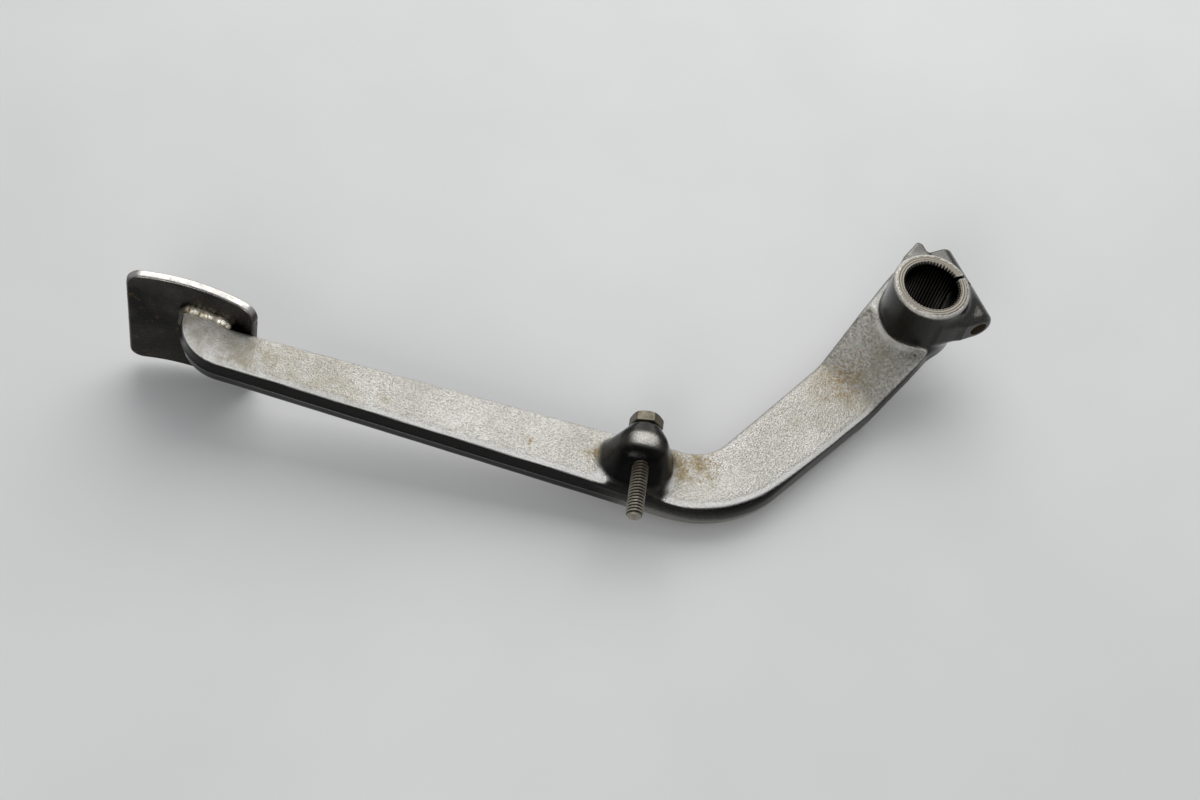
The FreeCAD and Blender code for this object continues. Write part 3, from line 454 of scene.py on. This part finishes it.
# Painted light: boss sides lighter and front darker by facing; lugs lighter away from the slit; heel and hub
# barrel lighter on one side.
wall = wall + on_boss * (0.25 * np.abs(facing[:, 0]) - 0.12 * np.clip(-facing[:, 1], 0, 1))
wall = wall + on_lugs * (1 - on_heel) * (0.15 + 0.25 * ease(0, 12, slit_off))
wall = wall + on_heel * (0.45 + 0.4 * np.clip(-facing[:, 0], 0, 1))
wall = wall + on_hub * (0.10 + 0.25 * np.clip(facing[:, 0], 0, 1))
# Painted shade on the boss front beside the screw.
wall = wall * (1 - on_boss * ease(2.5, 4.5, boss_across) * ease(10, 7, np.abs(boss_along)))
paint(carved, "painted_wall_light", np.clip(wall, 0, 1))

# Machined faces: the hub's turned end, and the pinch hole and the bore, whose insides are painted dark as
# shade.
paint(carved, "hub_radius", hub_radius)
paint(carved, "hub_face", (spots[:, 2] > 14.2) * (hub_radius < 13.7) * np.clip(up * 3 - 1.6, 0, 1))
pinch_off = np.hypot(slit_run - pinch_reach, spots[:, 2] - pinch_rise)
in_pinch = (pinch_off < pinch_radius + 0.1) * (np.abs(slit_off) > 2)
paint(carved, "in_hole", in_pinch * ease(3, 18, np.abs(slit_off)))
paint(carved, "in_bore", (hub_radius < 11.4) * (np.abs(spots[:, 2]) < 15.9) * 1.0)


def clouded(places):
    """Sum of bell-shaped spots, each given by its place in plan, its reach and its depth."""
    return sum(depth * np.exp(-((spots[:, 0] - x) ** 2 + (spots[:, 1] - y) ** 2) / (2 * reach ** 2))
               for x, y, reach, depth in places) * ease(0.3, 0.8, up) * (1 - 0.85 * on_boss)


# Brown and olive stains; the deep spots beside the boss also stand in for its shadow: painted shade.
paint(carved, "stain_and_shade", clouded([
    (-103.0, -92.0, 4.0, 1.8), (-72.0, -86.0, 7.5, 1.5), (-24.5, -31.0, 9.0, 0.6), (-14.0, -36.0, 7.0, 0.4),
    (-254.0, -88.0, 8.0, 0.4), (-267.0, -86.0, 9.0, 0.5), (-236.0, -93.0, 12.0, 0.6), (-8.0, -17.0, 6.0, 0.9),
    (-200.0, -96.0, 9.0, 0.3), (-215.0, -92.0, 24.0, 0.35), (-34.0, -48.0, 12.0, 0.35),
    (-150.0, -90.0, 12.0, 0.2), (-183.7, -95.0, 2.0, 0.5), (-128.5, -94.0, 2.2, 0.5),
    (-113.8, -81.5, 1.0, 0.6), (-98.0, -91.0, 3.0, 0.9)]))
paint(carved, "speckled", clouded([
    (-106.0, -87.0, 6.0, 0.7), (-70.0, -86.0, 7.0, 0.68), (-62.0, -80.0, 7.0, 0.75), (-58.0, -92.0, 8.0, 0.5),
    (-24.0, -32.0, 10.0, 0.9), (-17.0, -24.0, 8.0, 0.7), (-40.0, -58.0, 10.0, 0.4),
    (-135.0, -92.0, 14.0, 0.35), (-240.0, -92.0, 12.0, 0.2), (-183.7, -95.0, 1.4, 1.05),
    (-128.5, -94.0, 1.5, 1.05), (-113.8, -81.5, 0.8, 1.2)]))


def new_material(name):
    """Empty node material with a Principled shader; returns it, its nodes, a joiner and the shader."""
    material = bpy.data.materials.new(name)
    material.use_nodes = True
    nodes, links = material.node_tree.nodes, material.node_tree.links
    return material, nodes, links.new, nodes["Principled BSDF"]


def noise(nodes, join, coordinates, scale, detail=3.0, rough=0.55):
    """Noise on Object coordinates, at a scale in waves per metre."""
    node = nodes.new("ShaderNodeTexNoise")
    node.inputs["Scale"].default_value = scale
    node.inputs["Detail"].default_value = detail
    node.inputs["Roughness"].default_value = rough
    join(coordinates, node.inputs["Vector"])
    return node.outputs["Fac"]


def ramp(nodes, join, value, stops):
    """Colour or grey read off a ramp of (position, colour) stops."""
    node = nodes.new("ShaderNodeValToRGB")
    while len(node.color_ramp.elements) < len(stops):
        node.color_ramp.elements.new(0.5)
    for element, (position, colour) in zip(node.color_ramp.elements, stops):
        element.position = position
        element.color = (*colour, 1) if len(colour) == 3 else colour
    join(value, node.inputs["Fac"])
    return node.outputs["Color"]


def grey(level):
    """Colour of three equal channels."""
    return (level, level, level)


def sums(nodes, join, kind, first, second):
    """One arithmetic step on two values, either of which may be a number."""
    node = nodes.new("ShaderNodeMath")
    node.operation = kind
    for socket, value in zip(node.inputs, (first, second)):
        if isinstance(value, (int, float)):
            socket.default_value = value
        else:
            join(value, socket)
    return node.outputs["Value"]


def blend(nodes, join, share, first, second, kind="MIX"):
    """Mix of two colours by a share; each may be a colour or a socket."""
    node = nodes.new("ShaderNodeMix")
    node.data_type = "RGBA"
    node.blend_type = kind
    for socket, value in ((node.inputs[0], share), (node.inputs[6], first), (node.inputs[7], second)):
        if isinstance(value, (int, float)):
            socket.default_value = value
        elif isinstance(value, tuple):
            socket.default_value = (*value, 1)
        else:
            join(value, socket)
    return node.outputs[2]


def attribute(nodes, name):
    """Painted number of that name, as a socket."""
    node = nodes.new("ShaderNodeAttribute")
    node.attribute_name = name
    return node.outputs["Fac"]


def bump(nodes, join, height, distance, strength, normal=None):
    """Bump of a height field, its distance in metres."""
    node = nodes.new("ShaderNodeBump")
    node.inputs["Distance"].default_value = distance
    if isinstance(strength, (int, float)):
        node.inputs["Strength"].default_value = strength
    else:
        join(strength, node.inputs["Strength"])
    join(height, node.inputs["Height"])
    if normal is not None:
        join(normal, node.inputs["Normal"])
    return node.outputs["Normal"]


chrome, nodes, join, shader = new_material("plated_forging")
place = nodes.new("ShaderNodeTexCoord").outputs["Object"]
top_share = attribute(nodes, "on_top")
painted_wall_light = attribute(nodes, "painted_wall_light")
painted_highlight = attribute(nodes, "painted_highlight")
climb = attribute(nodes, "climb")
stain_and_shade_share = attribute(nodes, "stain_and_shade")
speckled = attribute(nodes, "speckled")
hub_face = attribute(nodes, "hub_face")
in_bore = attribute(nodes, "in_bore")
in_hole = attribute(nodes, "in_hole")
pebbles = noise(nodes, join, place, 1350, 3.5, 0.6)
grit = noise(nodes, join, place, 2400, 2.0)
clouds = noise(nodes, join, place, 55, 4.0)
specks = noise(nodes, join, place, 700, 4.0, 0.7)
# Painted light and shade: the lit top colour over the painted dark wall colour, which the painted reflections
# lighten.
lit_top_tone = ramp(nodes, join, clouds, [(0.3, (0.53, 0.505, 0.455)), (0.7, (0.73, 0.71, 0.665))])
painted_wall_tone = ramp(nodes, join, painted_wall_light, [(0.0, grey(0.008)), (0.12, (0.022, 0.022, 0.021)),
                                        (0.55, (0.085, 0.083, 0.077)), (1.0, (0.40, 0.385, 0.35))])
plating = blend(nodes, join, top_share, painted_wall_tone, lit_top_tone)
# Painted flecks of light and dark for the sparkle of the pebbled skin, over its bump.
fleck = ramp(nodes, join, pebbles, [(0.32, grey(0.60)), (0.58, grey(1.0))])
plating = blend(nodes, join, 1.0, plating, fleck, "MULTIPLY")
# Climb: rough grain, darkened partly as painted shade.
rough_grain = noise(nodes, join, place, 980, 5.0, 0.7)
climb_grain_and_shade = ramp(nodes, join, rough_grain, [(0.40, (0.085, 0.077, 0.060)), (0.62, (0.80, 0.765, 0.68))])
plating = blend(nodes, join, sums(nodes, join, "MULTIPLY", climb, 0.75), plating, climb_grain_and_shade)
rust_need = sums(nodes, join, "MULTIPLY", speckled, 0.2)
rust_share = sums(nodes, join, "ADD", specks, rust_need)
rust_share = ramp(nodes, join, rust_share, [(0.73, grey(0.0)), (0.86, grey(0.85))])
rust_tone = ramp(nodes, join, grit, [(0.35, (0.24, 0.145, 0.05)), (0.65, (0.48, 0.35, 0.16))])
blotches = noise(nodes, join, place, 170, 4.0, 0.65)
mottle = ramp(nodes, join, blotches, [(0.40, grey(0.12)), (0.62, grey(0.85))])
tint = sums(nodes, join, "MULTIPLY", stain_and_shade_share, mottle)
tint_tone = ramp(nodes, join, stain_and_shade_share, [(0.5, (0.40, 0.36, 0.265)), (1.0, (0.30, 0.245, 0.15))])
# Painted highlight colour for the rim, the root, the near edge and the pad end.
highlight_tone = ramp(nodes, join, pebbles, [(0.34, (0.74, 0.725, 0.69)), (0.56, (0.96, 0.945, 0.91))])
plating = blend(nodes, join, painted_highlight, plating, highlight_tone)
plating = blend(nodes, join, tint, plating, tint_tone)
surface = blend(nodes, join, rust_share, plating, rust_tone)
rings = nodes.new("ShaderNodeMath")
rings.operation = "SINE"
join(sums(nodes, join, "MULTIPLY", attribute(nodes, "hub_radius"), 6.3), rings.inputs[0])
ring_wave = rings.outputs["Value"]
ring_tone = ramp(nodes, join, ring_wave, [(0.0, (0.14, 0.131, 0.116)), (0.9, (0.31, 0.295, 0.266))])
ring_tone = blend(nodes, join, clouds, ring_tone, (0.23, 0.20, 0.155))
surface = blend(nodes, join, hub_face, surface, ring_tone)
# Painted shade inside the bore and the pinch hole.
surface = blend(nodes, join, in_bore, surface, (0.028, 0.024, 0.02))
surface = blend(nodes, join, in_hole, surface, (0.075, 0.056, 0.036))
join(surface, shader.inputs["Base Color"])
sheen_level = blend(nodes, join, top_share, grey(0.16), grey(0.36))
sheen_level = blend(nodes, join, painted_highlight, sheen_level, grey(0.30))
sheen_level = blend(nodes, join, rust_share, sheen_level, grey(0.75))
join(sheen_level, shader.inputs["Roughness"])
dull = sums(nodes, join, "MAXIMUM", rust_share, painted_highlight)
dull = sums(nodes, join, "MAXIMUM", dull, in_hole)
join(ramp(nodes, join, dull, [(0.0, grey(1.0)), (1.0, grey(0.25))]), shader.inputs["Metallic"])
pebble_depth = blend(nodes, join, top_share, grey(0.12), grey(0.75))
pebble_depth = blend(nodes, join, hub_face, pebble_depth, grey(0.05))
rough_skin = bump(nodes, join, pebbles, 0.0008, pebble_depth)
rough_skin = bump(nodes, join, rough_grain, 0.0016, climb, rough_skin)
turned = bump(nodes, join, ring_wave, 0.00006, hub_face, rough_skin)
join(turned, shader.inputs["Normal"])
carved.materials.clear()
carved.materials.append(chrome)
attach(forging, "lever")
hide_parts("lever_forging")

# The foot pad: a steel plate bowed about an upright axis, corners rounded and edges softened, chromed
# with the lever. It stands across the arm's end, hollow side to the arm.
pad_thick, pad_high, pad_corner = 3.8, 52.5, 5.5
pad_front, pad_rear = (math.asin(half_chord / pad_hollow) * pad_hollow for half_chord in (22.6, 25.8))
pad_level = arm_level - 6.9


def rounded_outline(long, wide, corner, around):
    """Closed outline of a rectangle with rounded corners, its points spread evenly by length."""
    quarter = np.linspace(0, math.pi / 2, 24)
    centres = [(long / 2 - corner, wide / 2 - corner), (-long / 2 + corner, wide / 2 - corner),
               (-long / 2 + corner, -wide / 2 + corner), (long / 2 - corner, -wide / 2 + corner)]
    walk = np.concatenate([np.stack([cx + corner * np.cos(quarter + i * math.pi / 2),
                                     cy + corner * np.sin(quarter + i * math.pi / 2)], -1)
                           for i, (cx, cy) in enumerate(centres)])
    walk = np.concatenate([walk, walk[:1]])
    length = np.concatenate([[0], np.cumsum(np.hypot(*np.diff(walk, axis=0).T))])
    even = np.linspace(0, length[-1], around, endpoint=False)
    return np.stack([np.interp(even, length, walk[:, 0]), np.interp(even, length, walk[:, 1])], -1)


def bow(run, level, depth):
    """Plate point to space: run along the arc from the crown, level, and depth out from the hollow back."""
    angle, radius = run / pad_hollow, pad_hollow + depth
    x, y = pad_centre[0] + radius * np.sin(angle), pad_centre[1] + radius * np.cos(angle)
    return np.stack([x, y, level], -1)


edge_turn = np.linspace(0, math.pi / 2, 6)
edge_soft = 1.0
flat_inset = np.linspace(22.0, edge_soft + 0.6, 14)
inset = np.concatenate([flat_inset, edge_soft - edge_soft * np.sin(edge_turn),
                        edge_soft - edge_soft * np.cos(edge_turn), flat_inset[::-1]])
depth = np.concatenate([np.zeros_like(flat_inset), edge_soft - edge_soft * np.cos(edge_turn),
                        pad_thick - edge_soft + edge_soft * np.sin(edge_turn),
                        np.full_like(flat_inset, pad_thick)])
pad_rows = []
for back, out in zip(inset, depth):
    corner = max(pad_corner - back, 1.2)
    ring = rounded_outline(pad_front + pad_rear - 2 * back, pad_high - 2 * back, corner, 220)
    run = ring[:, 0] + (pad_rear - pad_front) / 2
    level = pad_level + ring[:, 1]
    dent = 0.10 * np.sin(run / 6.0 + 0.7) * np.sin(level / 7.5) * (back > 0.7)
    pad_rows.append(bow(run, level, np.full_like(run, out) + dent))
points, faces = closed_grid(np.array(pad_rows)[::-1])
pad = mesh_piece("foot_pad_plate", points, faces)
smooth_but_sharp(pad.data, 50)
spots = stand_up(vertex_array(pad.data, "co")) * 1000
reach = np.hypot(spots[:, 0] - pad_centre[0], spots[:, 1] - pad_centre[1]) - pad_hollow
facing = stand_up(vertex_array(pad.data, "normal"))
outwards = (facing[:, :2] * (spots[:, :2] - pad_centre)).sum(1) / np.maximum(reach + pad_hollow, 1)
# Painted shade: the hollow back and the side edges are marked for a dark colour.
paint(pad.data, "hollow_side", np.clip(-outwards * 1.4 - 0.2, 0, 1))
paint(pad.data, "side_edge", (1 - ease(0.45, 0.75, facing[:, 2])) * ease(0.75, 0.4, np.abs(outwards)))

chrome_plate, nodes, join, shader = new_material("plated_plate")
place = nodes.new("ShaderNodeTexCoord").outputs["Object"]
hollow = attribute(nodes, "hollow_side")
clouds = noise(nodes, join, place, 38, 4.0)
pebbles = noise(nodes, join, place, 900, 3.0)
specks = noise(nodes, join, place, 300, 4.0, 0.7)
# Painted light and shade: lit outer face and top edge, side edges and hollow back painted dark.
bright = ramp(nodes, join, clouds, [(0.3, (0.45, 0.435, 0.405)), (0.7, (0.60, 0.585, 0.555))])
dark = ramp(nodes, join, clouds, [(0.35, (0.013, 0.012, 0.011)), (0.66, (0.065, 0.061, 0.053))])
plate_tone = blend(nodes, join, attribute(nodes, "side_edge"), bright, (0.075, 0.07, 0.06))
plate_tone = blend(nodes, join, hollow, plate_tone, dark)
rusted = ramp(nodes, join, specks, [(0.60, grey(0.0)), (0.72, grey(0.7))])
plate_tone = blend(nodes, join, rusted, plate_tone, (0.20, 0.12, 0.05))
join(plate_tone, shader.inputs["Base Color"])
join(ramp(nodes, join, specks, [(0.45, grey(0.22)), (0.75, grey(0.6))]), shader.inputs["Roughness"])
shader.inputs["Metallic"].default_value = 1.0
join(bump(nodes, join, pebbles, 0.0003, 0.35), shader.inputs["Normal"])
pad.data.materials.append(chrome_plate)
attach(pad, "lever")
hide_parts("foot_pad")

# The weld: a bead of filler run all round the arm's end against the pad's hollow back, its ripples left
# as they froze, chromed over.
weld_around, weld_profile = 360, 20
loop = rounded_outline(17.7, 13.5, 2.3, weld_around)
ahead, behind = np.roll(loop, -1, axis=0), np.roll(loop, 1, axis=0)
tangent = (ahead - behind) / np.linalg.norm(ahead - behind, axis=1)[:, None]
outward = np.stack([tangent[:, 1], -tangent[:, 0]], -1)
walk = np.linspace(0, 1, weld_around, endpoint=False)
swell = 1 + 0.10 * np.sin(2 * math.pi * walk * 5 + 0.6) + 0.08 * np.sin(2 * math.pi * walk * 11 + 2.0)
lap = (walk * 24 + 0.35 * np.sin(2 * math.pi * walk * 4)) % 1
ripple = 0.32 * (np.abs(lap - 0.5) * 2) ** 1.4
weld_rows = []
for angle in np.linspace(0, 2 * math.pi, weld_profile, endpoint=False):
    swing = 2.55 * swell - ripple * (0.6 + 0.4 * math.sin(angle))
    out = -0.7 + swing * math.cos(angle)
    down = 0.5 + swing * math.sin(angle)
    side = loop + outward * out[:, None]
    level = arm_level + side[:, 1]
    x = end_x + side[:, 0]
    back = pad_centre[1] + np.sqrt(pad_hollow ** 2 - (x - pad_centre[0]) ** 2)
    weld_rows.append(np.stack([x, back - down, level], -1))
weld_rows = np.array(weld_rows)
ids = np.arange(weld_profile * weld_around).reshape(weld_profile, weld_around)
next_profile, next_walk = np.roll(ids, -1, axis=0), np.roll(ids, -1, axis=1)
faces = np.stack([ids, next_walk, np.roll(next_profile, -1, axis=1), next_profile], -1).reshape(-1, 4)
weld = mesh_piece("pad_weld_bead", weld_rows.reshape(-1, 3), faces)
weld.data.shade_smooth()
spots = stand_up(vertex_array(weld.data, "co")) * 1000
facing = stand_up(vertex_array(weld.data, "normal"))
# Painted light and shade: only the bead's upper side by the pad is lit, the rest takes a painted shade
# colour.
upper = ease(0.0, 0.5, facing[:, 2]) * ease(arm_level + 5.0, arm_level + 7.2, spots[:, 2])
paint(weld.data, "upper_side", upper * ease(end_x - 9.0, end_x - 5.5, spots[:, 0]))
chrome_weld, nodes, join, shader = new_material("plated_weld")
place = nodes.new("ShaderNodeTexCoord").outputs["Object"]
clouds = noise(nodes, join, place, 230, 3.0)
pits = noise(nodes, join, place, 1500, 2.0)
bead = ramp(nodes, join, clouds, [(0.36, (0.16, 0.11, 0.06)), (0.48, (0.62, 0.55, 0.42)),
                                  (0.66, (0.84, 0.80, 0.72))])
shaded = ramp(nodes, join, clouds, [(0.3, (0.03, 0.026, 0.02)), (0.7, (0.12, 0.105, 0.08))])
join(blend(nodes, join, attribute(nodes, "upper_side"), shaded, bead), shader.inputs["Base Color"])
join(ramp(nodes, join, clouds, [(0.3, grey(0.45)), (0.7, grey(0.22))]), shader.inputs["Roughness"])
shader.inputs["Metallic"].default_value = 1.0
join(bump(nodes, join, pits, 0.0004, 0.6), shader.inputs["Normal"])
weld.data.materials.append(chrome_weld)
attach(weld, "lever")
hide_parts("pad_weld")

# The stop screw: a quarter-inch hexagon screw with twenty threads to the inch, zinc plated and grown
# dull. It is turned into the boss and stands a little off its seat.
screw_radius, pitch, thread_deep = 3.175, 1.27, 0.72
head_foot, head_top, tip = -7.9, -12.0, 30.2
screw_turns = np.linspace(0, 2 * math.pi, 72, endpoint=False)
hexagon = 5.555 / np.cos((screw_turns - math.radians(12.0) + math.pi / 6) % (math.pi / 3) - math.pi / 6)
shank = np.arange(tip, head_foot + 0.05, -pitch / 12)
lead = (shank[:, None] / pitch - screw_turns[None] / (2 * math.pi)) % 1
groove = np.clip(1.25 * np.abs(lead - 0.5) * 2 - 0.14, 0, 1)
fade = np.clip((shank - head_foot - 0.8) / 2.0, 0, 1)[:, None]
shank_radius = screw_radius - thread_deep * groove * fade
shank_radius = np.minimum(shank_radius, screw_radius - 1.0 + (tip - shank)[:, None])
head_reach = np.array([head_foot + 0.02, head_foot - 0.05, -9.9, -11.2, -11.55, -11.8, head_top + 0.02,
                       head_top])
cone = 5.3 + (head_reach - head_top)[:, None] / math.tan(math.radians(30.0))
head_radius = np.minimum(hexagon[None], np.maximum(cone, 5.2))
head_radius[0] = np.minimum(hexagon - 0.15, 6.2)
crown_rows = np.array([5.0, 3.4, 2.0])[:, None] * np.ones_like(screw_turns)[None]
reaches = np.concatenate([shank, head_reach, [head_top, head_top + 0.06, head_top + 0.1]])
radii = np.concatenate([shank_radius, head_radius, crown_rows])
screw_side = np.cross(screw_way, upright)
ring_way = np.cos(screw_turns)[:, None] * upright + np.sin(screw_turns)[:, None] * screw_side
screw_rows = boss_middle + reaches[:, None, None] * screw_way + radii[..., None] * ring_way[None]
points, faces = closed_grid(screw_rows[::-1])
screw = mesh_piece("stop_screw_threaded", points, faces)
smooth_but_sharp(screw.data, 28)
spots = stand_up(vertex_array(screw.data, "co")) * 1000 - boss_middle
reach = spots @ screw_way
away = np.linalg.norm(spots - reach[:, None] * screw_way, axis=1)
# Painted light and shade: the screw lighter towards its tip and darker up by the boss; grooves and the shank
# by the boss painted dark as shade.
paint(screw.data, "tip_light", 0.1 + 0.75 * ease(tip - 24, tip - 2, reach))
on_shank = (reach > head_foot + 0.3) * (reach < tip - 0.5)
in_shade = 0.7 * ease(tip - 10, tip - 22, reach)
paint(screw.data, "groove", on_shank * np.maximum(ease(3.1, 2.6, away), in_shade))
zinc, nodes, join, shader = new_material("zinc_screw")
place = nodes.new("ShaderNodeTexCoord").outputs["Object"]
clouds = noise(nodes, join, place, 220, 4.0)
grit = noise(nodes, join, place, 1600, 3.0)
tone = ramp(nodes, join, clouds, [(0.3, (0.085, 0.07, 0.046)), (0.7, (0.20, 0.18, 0.135))])
lit_crest = ramp(nodes, join, clouds, [(0.3, (0.24, 0.222, 0.18)), (0.7, (0.46, 0.435, 0.37))])
tone = blend(nodes, join, attribute(nodes, "tip_light"), tone, lit_crest)
tone = blend(nodes, join, attribute(nodes, "groove"), tone, (0.025, 0.02, 0.014))
dirt = ramp(nodes, join, grit, [(0.5, grey(0.0)), (0.75, grey(0.6))])
join(blend(nodes, join, dirt, tone, (0.10, 0.07, 0.04)), shader.inputs["Base Color"])
join(ramp(nodes, join, clouds, [(0.3, grey(0.55)), (0.7, grey(0.36))]), shader.inputs["Roughness"])
shader.inputs["Metallic"].default_value = 0.85
join(bump(nodes, join, grit, 0.0002, 0.3), shader.inputs["Normal"])
screw.data.materials.append(zinc)
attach(screw, "stop_screw")
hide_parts("stop_screw")

# The stand: a plain pale floor under the lever's lowest points, soft overhead light, and the camera where the
# photograph was taken from.
floor_level, floor_half = cad_box[0][2], 3
floor_corners = [(i * floor_half, j * floor_half, floor_level)
                 for i, j in ((-1, -1), (1, -1), (1, 1), (-1, 1))]
floor_mesh = bpy.data.meshes.new("floor")
floor_mesh.from_pydata(floor_corners, [], [(0, 1, 2, 3)])
floor = bpy.data.objects.new("floor", floor_mesh)
bpy.context.scene.collection.objects.link(floor)
paper, nodes, join, shader = new_material("pale_floor")
place = nodes.new("ShaderNodeTexCoord").outputs["Object"]
mottle = noise(nodes, join, place, 9, 3.0)
paper_tone = ramp(nodes, join, mottle, [(0.3, (0.66, 0.66, 0.65)), (0.7, (0.70, 0.70, 0.69))])
join(paper_tone, shader.inputs["Base Color"])
shader.inputs["Roughness"].default_value = 0.7
floor_mesh.materials.append(paper)

world = bpy.data.worlds.new("studio")
bpy.context.scene.world = world
world.use_nodes = True
backing = world.node_tree.nodes["Background"]
backing.inputs["Color"].default_value = (0.80, 0.82, 0.85, 1)
backing.inputs["Strength"].default_value = 0.46


def soft_lamp(name, place, aim, width, power):
    """Square area lamp at a place, facing a point, with no visible outline of its own."""
    lamp = bpy.data.lights.new(name, "AREA")
    lamp.shape = "SQUARE"
    lamp.size = width
    lamp.energy = power
    holder = bpy.data.objects.new(name, lamp)
    way = np.array(place) - np.array(aim)
    way = way / np.linalg.norm(way)
    right = np.cross((0.0, 0.0, 1.0), way) if abs(way[2]) < 0.99 else np.array([1.0, 0, 0])
    right = right / np.linalg.norm(right)
    over = np.cross(way, right)
    rows = [(right[i], over[i], way[i], place[i]) for i in range(3)]
    holder.matrix_world = Matrix(rows + [(0, 0, 0, 1)])
    bpy.context.scene.collection.objects.link(holder)


soft_lamp("overhead", (-0.12, 0.56, 0.70), (-0.12, -0.05, 0.0), 1.1, 7.2)
soft_lamp("front", (-0.16, -1.05, 0.66), (-0.12, -0.05, 0.0), 0.5, 3.4)

# The camera as fitted to the photograph: its place in mm, and its right, up and back directions.
lens = bpy.data.cameras.new("camera")
lens.sensor_width = 36.0
lens.lens = 60.0
lens.clip_start = 0.01
camera = bpy.data.objects.new("camera", lens)
eye = lay_down((-111.23, -483.73, 597.88))
right, over, back = (lay_down(v) * 1000 for v in (
    (0.96029, 0.22933, 0.15889), (-0.27892, 0.79737, 0.5352), (-0.00397, -0.55828, 0.8296)))
camera.matrix_world = Matrix([(right[i], over[i], back[i], eye[i]) for i in range(3)] + [(0, 0, 0, 1)])
bpy.context.scene.collection.objects.link(camera)
bpy.context.scene.camera = camera
bpy.context.scene.view_settings.view_transform = "Standard"
